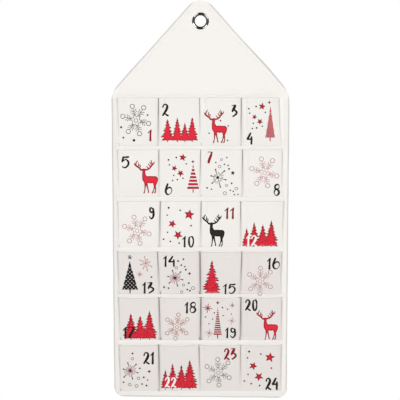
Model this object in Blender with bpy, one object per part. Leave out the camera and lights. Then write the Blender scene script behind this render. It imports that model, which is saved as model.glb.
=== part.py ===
"""Wall advent calendar: a gabled canvas hanging with six strips of four sewn pockets and one metal eyelet.

Sizes are metres. X runs across the cloth, Y from the room to the wall, and Z up.
The origin is the middle of the eyelet's bore, on the plane of the wall.
"""

import math

import bmesh
import bpy
from mathutils import Vector

# Cloth and thread
CANVAS = 0.0008
FIT_GAP = 0.0003
THREAD_RADIUS = 0.00025

# Pockets: one strip of cloth makes a row
POCKET_PITCH = 0.1025
POCKET_HEIGHT = 0.115
POCKET_DEPTH = 0.0105
POCKET_CROWN = 0.0025
BELLY_SHARE = 0.75
MOUTH_SAG = 0.0018
MOUTH_HEM = 0.0105
FOOT_HEM = 0.006
HEM_STEP = 0.001
STITCH_INSET = 0.0015
GROOVE_WIDTH = 0.0042
GROOVE_FOOT_WIDTH = 0.003
GUSSET_RUN = 0.0008
ROW_GAP = 0.0103

# Each row's height, the gap below it and how far its mouths sag, as shares of the sizes above
ROW_HEIGHT_SHARES = (1.04, 1.03, 1.01, 0.94, 0.95, 1.04)
ROW_GAP_SHARES = (0.95, 1.05, 1.10, 0.80, 1.15)
MOUTH_SAG_SHARES = (0.3, 0.4, 0.4, 1.0, 0.9, 1.0)

# The upright seams of each row at the mouth and at the foot, as shares of the pitch from the middle
SEAM_MOUTH_SHARES = (
    (-2.03, -1.03, -0.02, 0.985, 1.91),
    (-2.03, -1.02, 0.0, 1.03, 2.0),
    (-2.03, -0.99, 0.02, 0.98, 2.04),
    (-2.04, -1.06, -0.025, 1.01, 2.0),
    (-2.02, -1.015, 0.0, 0.985, 2.005),
    (-2.01, -1.04, -0.035, 0.99, 2.0),
)
SEAM_FOOT_SHARES = (
    (-2.01, -1.03, -0.005, 1.0, 1.98),
    (-2.015, -1.02, -0.01, 1.03, 2.015),
    (-2.025, -1.01, 0.0, 0.99, 2.025),
    (-2.02, -1.01, 0.0, 0.985, 1.99),
    (-2.0, -1.0, 0.0, 0.99, 2.01),
    (-2.0, -1.015, -0.005, 0.995, 2.0),
)

# Outline of the panel
EDGE_HEM = 0.010
STRIP_SET_IN = 0.001
ROOF_PITCH = math.radians(48.0)
APEX_RADIUS = 0.039
SHOULDER_RADIUS = 0.060
STITCH_CORNER_RADIUS = 0.015
LEAST_RADIUS = 0.002
EYELET_DROP = 0.051
FIRST_MOUTH_DROP = 0.0135
FOOT_SET_IN = 0.0005
BOTTOM_DROP = 0.004

# Stitched channel with its batten, and the stiffening cloth above and below it
CHANNEL_RISE = 0.0075
CHANNEL_HEIGHT = 0.0127
CHANNEL_PLAY = 0.0012
BATTEN_END_PLAY = 0.004
BATTEN_RADIUS = 0.0025
CORE_PLAY = 0.001
CORE_CORNER_RADIUS = 0.016

# Eyelet, its rolled barrel and the washer behind the cloth
BORE_RADIUS = 0.014
BARREL_WALL = 0.0007
FLANGE_WIDTH = 0.0063
FLANGE_RISE = 0.0024
CURL_WIDTH = 0.0022
CURL_THICKNESS = 0.0007
WASHER_WIDTH = 0.0052
WASHER_THICKNESS = 0.0007

# How finely round shapes and cloth are divided
ARC_STEPS = 6
EYELET_STEPS = 40
LIP_STEPS = 5
FRONT_SPANS = 5
BELLY_LEVEL_SHARES = (0.3, 0.62)
LEAST_MITRE_SHARE = 0.3
CUT_OVERRUN = 0.005

# Depths of the layers, counted from the wall towards the room
CURL_FRONT = -CURL_THICKNESS
WASHER_BACK = CURL_FRONT - FIT_GAP
WASHER_FRONT = WASHER_BACK - WASHER_THICKNESS
LINING_BACK = WASHER_FRONT - FIT_GAP
LINING_RIM = LINING_BACK - 2 * CANVAS
PANEL_RIM = LINING_RIM - FIT_GAP
PANEL_FRONT = PANEL_RIM - 2 * CANVAS
CORE_BACK = LINING_BACK - CANVAS - FIT_GAP
CORE_FRONT = PANEL_FRONT + CANVAS + FIT_GAP
FLANGE_SEAT = PANEL_FRONT - FIT_GAP

# Radii of the eyelet's parts
BARREL_RADIUS = BORE_RADIUS + BARREL_WALL
HOLE_RADIUS = BARREL_RADIUS + FIT_GAP
FLANGE_RADIUS = BARREL_RADIUS + FLANGE_WIDTH

# Outline corners, worked out from the pockets that the panel carries
SEAM_REACH_SHARE = max(abs(share) for row in SEAM_MOUTH_SHARES + SEAM_FOOT_SHARES for share in row)
STRIP_REACH = SEAM_REACH_SHARE * POCKET_PITCH + GROOVE_WIDTH / 2
HALF_WIDTH = STRIP_REACH + STRIP_SET_IN + THREAD_RADIUS + EDGE_HEM
APEX_Z = EYELET_DROP + APEX_RADIUS * (1 / math.cos(ROOF_PITCH) - 1)
SHOULDER_Z = APEX_Z - HALF_WIDTH * math.tan(ROOF_PITCH)
FIRST_MOUTH_Z = SHOULDER_Z - FIRST_MOUTH_DROP

# Lower corners: the last strip's ends stay inside the rounded stitching
CORNER_RADIUS = STITCH_CORNER_RADIUS + EDGE_HEM
FOOT_REACH_SHARE = max(abs(share) for share in SEAM_FOOT_SHARES[-1])
FOOT_REACH = FOOT_REACH_SHARE * POCKET_PITCH + GROOVE_FOOT_WIDTH / 2
FOOT_INDENT = min(HALF_WIDTH - EDGE_HEM - FOOT_REACH - THREAD_RADIUS, STITCH_CORNER_RADIUS)
CORNER_BITE = STITCH_CORNER_RADIUS - math.sqrt(
    STITCH_CORNER_RADIUS ** 2 - (STITCH_CORNER_RADIUS - FOOT_INDENT) ** 2
)
BOTTOM_MARGIN = EDGE_HEM + THREAD_RADIUS + BOTTOM_DROP / 2 + CORNER_BITE + FOOT_SET_IN

# Linear colours
CANVAS_COLOUR = (0.87, 0.85, 0.81)
LINING_COLOUR = (0.84, 0.81, 0.76)
CORE_COLOUR = (0.78, 0.77, 0.74)
THREAD_COLOUR = (0.80, 0.78, 0.73)
BATTEN_COLOUR = (0.70, 0.69, 0.66)
METAL_COLOUR = (0.20, 0.19, 0.19)


def clear_scene():
    """Removes every object of the open scene."""
    for old in list(bpy.data.objects):
        bpy.data.objects.remove(old, do_unlink=True)


def finish(obj, colour, roughness, metallic=0.0):
    """Gives an object its own material."""
    material = bpy.data.materials.new(obj.name + "_finish")
    material.use_nodes = True
    shader = material.node_tree.nodes["Principled BSDF"]
    shader.inputs["Base Color"].default_value = (*colour, 1.0)
    shader.inputs["Roughness"].default_value = roughness
    shader.inputs["Metallic"].default_value = metallic
    obj.data.materials.append(material)
    return obj


def link(name, data):
    """Puts new data into the scene as a named object."""
    obj = bpy.data.objects.new(name, data)
    bpy.context.scene.collection.objects.link(obj)
    return obj


def mesh_object(name, bm):
    """Turns a finished bmesh into an object whose faces point out."""
    bmesh.ops.recalc_face_normals(bm, faces=bm.faces[:])
    mesh = bpy.data.meshes.new(name)
    bm.to_mesh(mesh)
    bm.free()
    return link(name, mesh)


def shade_round(obj):
    """Shades a turned piece smooth, but for its sharp edges."""
    obj.data.shade_smooth()
    obj.data.set_sharp_from_angle(angle=math.radians(40.0))
    return obj


# Outlines

def inset_corners(corners, inset):
    """Moves the sides of a clockwise outline inwards and returns the corners where they meet."""
    moved = []
    for here, after in zip(corners, corners[1:] + corners[:1]):
        along = (after - here).normalized()
        inward = Vector((along.y, -along.x))
        moved.append((here + inward * inset, along))
    result = []
    for (point_a, along_a), (point_b, along_b) in zip(moved[-1:] + moved[:-1], moved):
        across = along_a.x * along_b.y - along_a.y * along_b.x
        gap = point_b - point_a
        reach = (gap.x * along_b.y - gap.y * along_b.x) / across
        result.append(point_a + along_a * reach)
    return result


def outline_ring(corners, radii, inset, y):
    """Returns the points of a rounded outline, inset by a distance, at one depth."""
    points = []
    inner = inset_corners(corners, inset)
    for index, corner in enumerate(inner):
        radius = max(radii[index] - inset, LEAST_RADIUS)
        to_last = (inner[index - 1] - corner).normalized()
        to_next = (inner[(index + 1) % len(inner)] - corner).normalized()
        half_angle = to_last.angle(to_next) / 2
        centre = corner + (to_last + to_next).normalized() * (radius / math.sin(half_angle))
        spoke = corner + to_last * (radius / math.tan(half_angle)) - centre
        turn = math.pi - 2 * half_angle
        for step in range(ARC_STEPS + 1):
            angle = -turn * step / ARC_STEPS
            x = centre.x + spoke.x * math.cos(angle) - spoke.y * math.sin(angle)
            z = centre.y + spoke.x * math.sin(angle) + spoke.y * math.cos(angle)
            points.append(Vector((x, y, z)))
    return points


def loft(name, rings):
    """Joins rings of equal counts into a solid and closes the first and the last."""
    bm = bmesh.new()
    loops = [[bm.verts.new(point) for point in ring] for ring in rings]
    for ring_a, ring_b in zip(loops, loops[1:]):
        for index, corner in enumerate(ring_a):
            after = (index + 1) % len(ring_a)
            bm.faces.new((corner, ring_a[after], ring_b[after], ring_b[index]))
    bm.faces.new(loops[0])
    bm.faces.new(loops[-1])
    return mesh_object(name, bm)


def turned(name, profile):
    """Spins a closed profile of radius and depth pairs round the eyelet's axis."""
    bm = bmesh.new()
    verts = [bm.verts.new((radius, y, 0)) for radius, y in profile]
    edges = [bm.edges.new((verts[index - 1], vert)) for index, vert in enumerate(verts)]
    bmesh.ops.spin(
        bm, geom=verts + edges, cent=(0, 0, 0), axis=(0, 1, 0), angle=2 * math.pi,
        steps=EYELET_STEPS, use_merge=True,
    )
    bmesh.ops.remove_doubles(bm, verts=bm.verts[:], dist=FIT_GAP / 10)
    return shade_round(mesh_object(name, bm))


def thread(name, points, cyclic=False):
    """Lays one thread along a path."""
    curve = bpy.data.curves.new(name, "CURVE")
    curve.dimensions = "3D"
    curve.bevel_depth = THREAD_RADIUS
    curve.bevel_resolution = 0
    curve.use_fill_caps = True
    spline = curve.splines.new("POLY")
    spline.points.add(len(points) - 1)
    for slot, point in zip(spline.points, points):
        slot.co = (*point, 1.0)
    spline.use_cyclic_u = cyclic
    return finish(link(name, curve), THREAD_COLOUR, 0.7)


# Rows and their seams

def row_levels():
    """Returns the mouth and foot heights of every row, top row first."""
    levels = []
    mouth = FIRST_MOUTH_Z
    for index, height_share in enumerate(ROW_HEIGHT_SHARES):
        foot = mouth - POCKET_HEIGHT * height_share
        levels.append((mouth, foot))
        if index < len(ROW_GAP_SHARES):
            mouth = foot - ROW_GAP * ROW_GAP_SHARES[index]
    return levels


def land_face(thickness):
    """Depth of the outer face of strip cloth that lies on the panel."""
    return PANEL_FRONT - FIT_GAP - thickness


class Strip:
    """One row's strip: its heights, its seams and the surface that they shape."""

    def __init__(self, row):
        self.row = row
        self.mouth, self.foot = row_levels()[row]
        self.foot_top = self.foot + FOOT_HEM
        self.hem_foot = self.mouth - MOUTH_HEM
        self.sag = MOUTH_SAG * MOUTH_SAG_SHARES[row]

    def rise(self, z):
        """Share of the way from the flat foot hem to the mouth."""
        return max(0.0, (z - self.foot_top) / (self.mouth - self.foot_top))

    def climb(self, z):
        """Share of the way from the lower edge to the mouth."""
        return (z - self.foot) / (self.mouth - self.foot)

    def seam(self, index, z):
        """Place across the panel of one upright seam at one height."""
        mouth_share = SEAM_MOUTH_SHARES[self.row][index]
        foot_share = SEAM_FOOT_SHARES[self.row][index]
        return POCKET_PITCH * (foot_share + (mouth_share - foot_share) * self.climb(z))

    def half_groove(self, z):
        """Half the width of the land between two pockets at one height."""
        return (GROOVE_FOOT_WIDTH + (GROOVE_WIDTH - GROOVE_FOOT_WIDTH) * self.climb(z)) / 2

    def section(self, z, thickness):
        """Returns the outer face along the strip at one height, as x, y and height points."""
        land = land_face(thickness)
        rise = self.rise(z)
        depth = POCKET_DEPTH * rise ** BELLY_SHARE
        half_groove = self.half_groove(z)
        seams = len(SEAM_MOUTH_SHARES[self.row])
        points = []
        for index in range(seams):
            here = self.seam(index, z)
            points.append(Vector((here - half_groove, land, z)))
            points.append(Vector((here + half_groove, land, z)))
            if index == seams - 1:
                break
            left = here + half_groove + GUSSET_RUN
            right = self.seam(index + 1, z) - half_groove - GUSSET_RUN
            for step in range(FRONT_SPANS + 1):
                share = step / FRONT_SPANS
                bulge = rise * (1 - (2 * share - 1) ** 2)
                face = land_face(CANVAS) - depth - POCKET_CROWN * bulge
                x = left + (right - left) * share
                points.append(Vector((x, min(land, face), z - self.sag * bulge)))
        return points

    def levels(self):
        """Heights of the grid's rows with the cloth's thickness there."""
        single_foot = self.foot_top + HEM_STEP
        single_top = self.hem_foot - HEM_STEP
        span = single_top - single_foot
        levels = [(self.foot, 2 * CANVAS), (self.foot_top, 2 * CANVAS), (single_foot, CANVAS)]
        levels += [(single_foot + span * share, CANVAS) for share in BELLY_LEVEL_SHARES]
        levels += [(single_top, CANVAS), (self.hem_foot, 2 * CANVAS), (self.mouth, 2 * CANVAS)]
        return levels


def offset_section(points, distance):
    """Moves an open section outwards, towards the room, in its own plane."""
    result = []
    for index, point in enumerate(points):
        before = points[max(index - 1, 0)]
        after = points[min(index + 1, len(points) - 1)]
        normals = []
        for start, end in ((before, point), (point, after)):
            along = Vector((end.x - start.x, end.y - start.y))
            if along.length > 0:
                along.normalize()
                normals.append(Vector((along.y, -along.x)))
        middle = (normals[0] + normals[-1]).normalized()
        reach = distance / max(middle.dot(normals[0]), LEAST_MITRE_SHARE)
        result.append(Vector((point.x + middle.x * reach, point.y + middle.y * reach, point.z)))
    return result


def pocket_strip(strip, name):
    """Makes one row's pleated strip, doubled at its mouth hem and at its foot."""
    levels = strip.levels()
    rows = [strip.section(z, thickness) for z, thickness in levels]
    bm = bmesh.new()
    bmesh.ops.create_grid(bm, x_segments=len(rows[0]) - 1, y_segments=len(rows) - 1, size=1.0)
    bm.verts.ensure_lookup_table()
    for level, row in enumerate(rows):
        for column, point in enumerate(row):
            bm.verts[level * len(row) + column].co = point
    mesh = bpy.data.meshes.new(name)
    bm.to_mesh(mesh)
    bm.free()
    obj = link(name, mesh)
    group = obj.vertex_groups.new(name="layers")
    columns = len(rows[0])
    for level, (_, thickness) in enumerate(levels):
        members = [level * columns + column for column in range(columns)]
        group.add(members, thickness / (2 * CANVAS), "REPLACE")
    layers = obj.modifiers.new("layers", "SOLIDIFY")
    layers.thickness = 2 * CANVAS
    layers.vertex_group = group.name
    layers.offset = -1.0
    layers.use_even_offset = True
    return finish(obj, CANVAS_COLOUR, 0.9)


def strip_threads(strip, label):
    """Sews one strip: its mouth hem, its foot and its upright seams."""
    stand_off = FIT_GAP + THREAD_RADIUS
    hem_line = strip.hem_foot + STITCH_INSET
    thread("pocket_hem_thread_" + label, offset_section(strip.section(hem_line, 2 * CANVAS), stand_off))

    foot_line = strip.foot + FOOT_HEM / 2
    foot_y = land_face(2 * CANVAS) - stand_off
    ends = [strip.seam(index, foot_line) for index in (0, -1)]
    reach = strip.half_groove(foot_line)
    thread("pocket_foot_thread_" + label, [
        Vector((ends[0] - reach, foot_y, foot_line)),
        Vector((ends[1] + reach, foot_y, foot_line)),
    ])

    crossing = 2 * THREAD_RADIUS + FIT_GAP
    single = land_face(CANVAS) - stand_off
    stations = [
        (foot_line + crossing, foot_y),
        (strip.foot_top, foot_y),
        (strip.foot_top + HEM_STEP, single),
        (strip.hem_foot - HEM_STEP, single),
        (strip.hem_foot, foot_y - crossing),
        (strip.mouth - THREAD_RADIUS, foot_y - crossing),
    ]
    for index in range(len(SEAM_MOUTH_SHARES[strip.row])):
        path = [Vector((strip.seam(index, z), y, z)) for z, y in stations]
        thread("divider_thread_" + label + "_" + str(index + 1), path)


# Panel, lining and what lies between them

def panel_outline():
    """Returns the panel's sharp corners, clockwise from the apex, and their radii."""
    bottom = row_levels()[-1][1] - BOTTOM_MARGIN
    corners = [
        Vector((0, APEX_Z)),
        Vector((HALF_WIDTH, SHOULDER_Z)),
        Vector((HALF_WIDTH, bottom - BOTTOM_DROP / 2)),
        Vector((-HALF_WIDTH, bottom + BOTTOM_DROP / 2)),
        Vector((-HALF_WIDTH, SHOULDER_Z)),
    ]
    radii = [APEX_RADIUS, SHOULDER_RADIUS, CORNER_RADIUS, CORNER_RADIUS, SHOULDER_RADIUS]
    return corners, radii


def half_width_at(z, inset):
    """Half the width of the inset outline at a height, along the gable, the shoulder or the side."""
    radius = SHOULDER_RADIUS - inset
    arc_foot = SHOULDER_Z - SHOULDER_RADIUS * math.tan(math.pi / 4 - ROOF_PITCH / 2)
    lift = z - arc_foot
    if lift <= 0:
        return HALF_WIDTH - inset
    if lift <= radius * math.cos(ROOF_PITCH):
        return HALF_WIDTH - SHOULDER_RADIUS + math.sqrt(radius ** 2 - lift ** 2)
    return (APEX_Z - inset / math.cos(ROOF_PITCH) - z) / math.tan(ROOF_PITCH)


def bordered_sheet(name, face, rim, colour):
    """Makes a sheet whose border is turned in: its outer face lies at one depth, its rim at another."""
    corners, radii = panel_outline()
    inwards = 1 if rim > face else -1
    soft = CANVAS / 3
    rings = [
        outline_ring(corners, radii, CANVAS, face),
        outline_ring(corners, radii, soft, face + inwards * soft),
        outline_ring(corners, radii, 0, face + inwards * CANVAS),
        outline_ring(corners, radii, 0, rim),
        outline_ring(corners, radii, EDGE_HEM, rim),
        outline_ring(corners, radii, EDGE_HEM, face + inwards * CANVAS),
    ]
    return finish(loft(name, rings), colour, 0.9)


def eyelet_hole(pieces):
    """Cuts the eyelet's hole through the layers that it clamps."""
    bm = bmesh.new()
    depth = PANEL_FRONT - LINING_BACK
    bmesh.ops.create_cone(
        bm, cap_ends=True, segments=EYELET_STEPS, radius1=HOLE_RADIUS, radius2=HOLE_RADIUS,
        depth=abs(depth) + 2 * CUT_OVERRUN,
    )
    cutter = mesh_object("eyelet_hole_cutter", bm)
    cutter.rotation_euler = (math.radians(90.0), 0, 0)
    cutter.location = (0, (PANEL_FRONT + LINING_BACK) / 2, 0)
    cutter.hide_render = True
    cutter.display_type = "WIRE"
    for piece in pieces:
        cut = piece.modifiers.new("eyelet_hole", "BOOLEAN")
        cut.operation = "DIFFERENCE"
        cut.object = cutter


def flat_core(name, corners, radii, colour):
    """Makes one flat layer that fills the space between panel and lining."""
    front = outline_ring(corners, radii, 0, CORE_FRONT)
    back = outline_ring(corners, radii, 0, CORE_BACK)
    return finish(loft(name, [front, back]), colour, 0.9)


def cores():
    """Makes the gable's stiffener, the batten in its channel and the interlining below."""
    channel_foot = FIRST_MOUTH_Z + CHANNEL_RISE
    channel_top = channel_foot + CHANNEL_HEIGHT
    corners, radii = panel_outline()
    inner = inset_corners(corners, EDGE_HEM + CORE_PLAY)
    slope = math.tan(ROOF_PITCH)

    gable_foot = channel_top + CHANNEL_PLAY
    gable_reach = (inner[0].y - gable_foot) / slope
    gable = [inner[0], Vector((gable_reach, gable_foot)), Vector((-gable_reach, gable_foot))]
    gable_radii = [APEX_RADIUS - EDGE_HEM, CORE_CORNER_RADIUS, CORE_CORNER_RADIUS]
    stiffener = flat_core("gable_stiffener", gable, gable_radii, CORE_COLOUR)

    body_top = channel_foot - CHANNEL_PLAY
    side = inner[1].x
    body = [Vector((-side, body_top)), Vector((side, body_top)), inner[2], inner[3]]
    low_radius = CORNER_RADIUS - EDGE_HEM
    body_radii = [CORE_CORNER_RADIUS, CORE_CORNER_RADIUS, low_radius, low_radius]
    flat_core("body_interlining", body, body_radii, CORE_COLOUR)

    batten_foot = channel_foot + CHANNEL_PLAY
    batten_top = channel_top - CHANNEL_PLAY
    reach = half_width_at(batten_top, EDGE_HEM) - BATTEN_END_PLAY
    batten = [
        Vector((-reach, batten_top)), Vector((reach, batten_top)),
        Vector((reach, batten_foot)), Vector((-reach, batten_foot)),
    ]
    flat_core("spreader_batten", batten, [BATTEN_RADIUS] * len(batten), BATTEN_COLOUR)
    return stiffener, (channel_top, channel_foot)


def panel_threads(channel_lines):
    """Sews the border, front and back, and the two lines of the channel."""
    corners, radii = panel_outline()
    front = PANEL_FRONT - FIT_GAP - THREAD_RADIUS
    back = LINING_BACK + FIT_GAP + THREAD_RADIUS
    thread("edge_topstitch", outline_ring(corners, radii, EDGE_HEM, front), cyclic=True)
    thread("edge_bobbin_stitch", outline_ring(corners, radii, EDGE_HEM, back), cyclic=True)
    for name, z in zip(("channel_stitch_upper", "channel_stitch_lower"), channel_lines):
        reach = half_width_at(z, EDGE_HEM) - STRIP_SET_IN - THREAD_RADIUS
        thread(name, [Vector((-reach, front, z)), Vector((reach, front, z))])


# Eyelet

def arc(centre_radius, centre_y, radius, depth, start, end):
    """Returns points of an elliptic arc in the eyelet's profile."""
    points = []
    for step in range(LIP_STEPS + 1):
        angle = math.radians(start + (end - start) * step / LIP_STEPS)
        points.append((centre_radius + radius * math.cos(angle), centre_y - depth * math.sin(angle)))
    return points


def eyelet():
    """Makes the eyelet: a domed flange in front, the barrel and its curl behind the washer."""
    half_flange = (FLANGE_RADIUS - BORE_RADIUS) / 2
    crest = BORE_RADIUS + half_flange
    profile = arc(crest, FLANGE_SEAT, half_flange, FLANGE_RISE, 0.0, 180.0)
    curl_back = -CURL_THICKNESS / 3
    profile += [
        (BORE_RADIUS, curl_back),
        (BORE_RADIUS + CURL_THICKNESS / 3, 0),
        (BARREL_RADIUS + CURL_WIDTH - CURL_THICKNESS / 3, 0),
        (BARREL_RADIUS + CURL_WIDTH, curl_back),
        (BARREL_RADIUS + CURL_WIDTH, CURL_FRONT),
        (BARREL_RADIUS, CURL_FRONT),
        (BARREL_RADIUS, FLANGE_SEAT),
    ]
    return finish(turned("hanging_eyelet", profile), METAL_COLOUR, 0.25, 1.0)


def washer():
    """Makes the washer that the curl clamps against the lining."""
    inner = BARREL_RADIUS + FIT_GAP
    outer = BARREL_RADIUS + WASHER_WIDTH
    soft = WASHER_THICKNESS / 3
    profile = [
        (inner, WASHER_FRONT), (inner, WASHER_BACK), (outer - soft, WASHER_BACK),
        (outer, WASHER_BACK - soft), (outer, WASHER_FRONT),
    ]
    return finish(turned("eyelet_washer", profile), METAL_COLOUR, 0.3, 1.0)


def main():
    clear_scene()
    panel = bordered_sheet("front_panel", PANEL_FRONT, PANEL_RIM, CANVAS_COLOUR)
    lining = bordered_sheet("back_lining", LINING_BACK, LINING_RIM, LINING_COLOUR)
    stiffener, channel_lines = cores()
    eyelet_hole([panel, stiffener, lining])
    panel_threads(channel_lines)
    for row in range(len(ROW_HEIGHT_SHARES)):
        strip = Strip(row)
        label = str(row + 1)
        pocket_strip(strip, "pocket_strip_" + label)
        strip_threads(strip, label)
    eyelet()
    washer()


main()
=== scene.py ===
"""Dressed model of the wall advent calendar: sewn cloth, stitches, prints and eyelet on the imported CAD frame.

Sizes are metres unless a name says otherwise. X runs across the cloth, Y from the room to the wall, and Z up.
The origin is the middle of the eyelet's bore, on the plane of the wall.
"""

import logging
import math
import random
from collections.abc import Callable, Sequence
from dataclasses import dataclass, field
from enum import Enum
from itertools import pairwise

import bmesh
import bpy
import numpy as np
from mathutils import Matrix, Vector, noise
from mathutils.bvhtree import BVHTree
from mathutils.geometry import delaunay_2d_cdt
from mathutils.kdtree import KDTree


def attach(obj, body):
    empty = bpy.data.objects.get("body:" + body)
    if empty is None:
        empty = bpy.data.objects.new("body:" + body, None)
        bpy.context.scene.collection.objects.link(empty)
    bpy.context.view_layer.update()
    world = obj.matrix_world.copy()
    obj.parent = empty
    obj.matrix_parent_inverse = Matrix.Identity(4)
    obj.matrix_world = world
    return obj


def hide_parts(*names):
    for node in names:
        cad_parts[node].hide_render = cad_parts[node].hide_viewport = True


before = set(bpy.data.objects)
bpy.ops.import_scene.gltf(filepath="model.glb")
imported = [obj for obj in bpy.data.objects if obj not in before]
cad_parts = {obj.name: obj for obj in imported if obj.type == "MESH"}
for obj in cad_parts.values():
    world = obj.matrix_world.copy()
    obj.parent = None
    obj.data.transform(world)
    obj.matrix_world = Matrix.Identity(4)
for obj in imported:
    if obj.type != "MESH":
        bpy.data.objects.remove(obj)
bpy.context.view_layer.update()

LOG = logging.getLogger("advent_calendar")
BODY = "root"
MM = 0.001
TOUCH = 1e-6
ROOMWARD = Vector((0.0, -1.0, 0.0))
WALLWARD = Vector((0.0, 1.0, 0.0))

Point = tuple[float, float]
Triple = tuple[float, float, float]
BMesh = bmesh.types.BMesh
BMVert = bmesh.types.BMVert
Material = bpy.types.Material
Piece = bpy.types.Object
Socket = bpy.types.NodeSocket


# Shader building

class Graph:
    """Short calls to add and join shader nodes in one tree."""

    def __init__(self, tree: bpy.types.NodeTree) -> None:
        """Keeps the tree that the calls work on."""
        self.tree = tree

    def node(self, kind: str, label: str = "", **inputs: object) -> bpy.types.Node:
        """Adds a node and feeds its inputs.

        Args:
            kind: The node's type without its ShaderNode prefix.
            label: A label for the node.
            **inputs: Values or sockets by input name, in lower case with underscores.

        Returns:
            The new node.
        """
        made = self.tree.nodes.new("ShaderNode" + kind)
        made.label = label
        by_name = {}
        for socket in made.inputs:
            if socket.enabled:
                by_name.setdefault(socket.name.lower().replace(" ", "_"), socket)
        for name, value in inputs.items():
            self.feed(value, by_name[name])
        return made

    def feed(self, value: object, socket: Socket) -> None:
        """Joins a socket to an input, or sets the input's plain value.

        Args:
            value: A socket or a plain value.
            socket: The input that takes it.
        """
        if isinstance(value, Socket):
            self.tree.links.new(value, socket)
        else:
            socket.default_value = value

    def maths(self, operation: str, *values: object) -> Socket:
        """Adds a Math node.

        Args:
            operation: Its operation.
            *values: Its inputs in order, as numbers or sockets.

        Returns:
            The result's socket.
        """
        made = self.node("Math")
        made.operation = operation
        for value, socket in zip(values, made.inputs):
            self.feed(value, socket)
        return made.outputs[0]

    def blend(self, share: object, low: object, high: object) -> Socket:
        """Mixes two colours.

        Args:
            share: The weight of the second colour.
            low: The first colour.
            high: The second colour.

        Returns:
            The mixed colour's socket.
        """
        made = self.tree.nodes.new("ShaderNodeMix")
        made.data_type = "RGBA"
        for value, index in ((share, 0), (low, 6), (high, 7)):
            self.feed(value, made.inputs[index])
        return made.outputs[2]

    def spread(self, value: object, low: float, high: float) -> Socket:
        """Maps a value from 0 to 1 onto another range, without leaving it.

        Args:
            value: The socket to map.
            low: The result at 0.
            high: The result at 1.

        Returns:
            The mapped value's socket.
        """
        return self.node("MapRange", value=value, to_min=low, to_max=high).outputs["Result"]

    def radius(self, first: Socket, second: Socket) -> Socket:
        """Returns the distance that two coordinates measure from zero."""
        squares = [self.maths("POWER", part, 2.0) for part in (first, second)]
        return self.maths("SQRT", self.maths("ADD", *squares))


class SharedEffects:
    """The node groups that several finishes use, each built once."""

    def __init__(self) -> None:
        """Builds the groups."""
        self.weave = self._weave()
        self.handling = self._handling()
        self.fibres = self._fibres()

    @staticmethod
    def _start(
        name: str, setting: str, value: float, outputs: Sequence[str],
    ) -> tuple[Graph, bpy.types.NodeOutputs, bpy.types.NodeInputs]:
        """Starts a node group that reads a place and one setting.

        Args:
            name: The group's name.
            setting: Name of its number input.
            value: That input's first value.
            outputs: Names of its value outputs.

        Returns:
            Its graph, the sockets to read from and the sockets to feed.
        """
        tree = bpy.data.node_groups.new(name, "ShaderNodeTree")
        tree.interface.new_socket(name="Vector", in_out="INPUT", socket_type="NodeSocketVector")
        number = tree.interface.new_socket(name=setting, in_out="INPUT", socket_type="NodeSocketFloat")
        number.default_value = value
        for label in outputs:
            tree.interface.new_socket(name=label, in_out="OUTPUT", socket_type="NodeSocketFloat")
        return Graph(tree), tree.nodes.new("NodeGroupInput").outputs, tree.nodes.new("NodeGroupOutput").inputs

    def _weave(self) -> bpy.types.NodeTree:
        """Builds the plain weave: yarns over and under each other, of uneven thickness.

        Returns:
            The node group.
        """
        graph, given, result = self._start("plain_weave", "Yarns", 1100.0, ("Height", "Hollow"))
        drift = graph.node("TexNoise", "yarn drift", vector=given["Vector"], scale=180.0, detail=1.0)
        bend = graph.maths("MULTIPLY", graph.maths("SUBTRACT", drift.outputs[0], 0.5), 0.4)
        parts = graph.node("SeparateXYZ", vector=given["Vector"])
        waves = []
        for axis in "XZ":
            along = graph.maths("MULTIPLY_ADD", parts.outputs[axis], given["Yarns"], bend)
            waves.append(graph.maths("SINE", graph.maths("MULTIPLY", along, math.pi)))
        crossing = graph.maths("MULTIPLY", *waves)
        yarns = []
        for wave, swing in zip(waves, (0.45, -0.45)):
            over = graph.maths("MULTIPLY_ADD", crossing, swing, 0.55)
            yarns.append(graph.maths("MULTIPLY", graph.maths("ABSOLUTE", wave), over))
        height = graph.maths("MAXIMUM", *yarns)
        graph.feed(height, result["Height"])
        graph.feed(graph.maths("SUBTRACT", 1.0, height), result["Hollow"])
        return graph.tree

    def _handling(self) -> bpy.types.NodeTree:
        """Builds the slow change of tone of handled cloth, and its slubs.

        Returns:
            The node group.
        """
        graph, given, result = self._start("handled_cloth", "Seed", 0.0, ("Tone", "Slubs"))
        moved = graph.node("VectorMath", vector=given["Vector"])
        graph.feed(graph.node("CombineXYZ", y=given["Seed"]).outputs[0], moved.inputs[1])
        place = moved.outputs[0]
        broad = graph.node("TexNoise", "broad tone", vector=place, scale=9.0, detail=3.0)
        near = graph.node("TexNoise", "near tone", vector=place, scale=45.0, detail=2.0)
        slow = graph.maths("MULTIPLY", broad.outputs[0], 0.65)
        graph.feed(graph.maths("MULTIPLY_ADD", near.outputs[0], 0.35, slow), result["Tone"])
        stretch = graph.node("Mapping", vector=place, scale=(40.0, 40.0, 900.0))
        slubs = graph.node("TexNoise", "slubs", vector=stretch.outputs[0], scale=1.0, detail=2.0)
        graph.feed(slubs.outputs[0], result["Slubs"])
        return graph.tree

    def _fibres(self) -> bpy.types.NodeTree:
        """Builds matted fibres for felt, thread and brushed metal.

        Returns:
            The node group.
        """
        graph, given, result = self._start("matted_fibres", "Fineness", 900.0, ("Height",))
        mat = graph.node(
            "TexNoise", "fibres", vector=given["Vector"], scale=given["Fineness"], detail=4.0, distortion=1.5,
        )
        graph.feed(mat.outputs[0], result["Height"])
        return graph.tree


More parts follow.
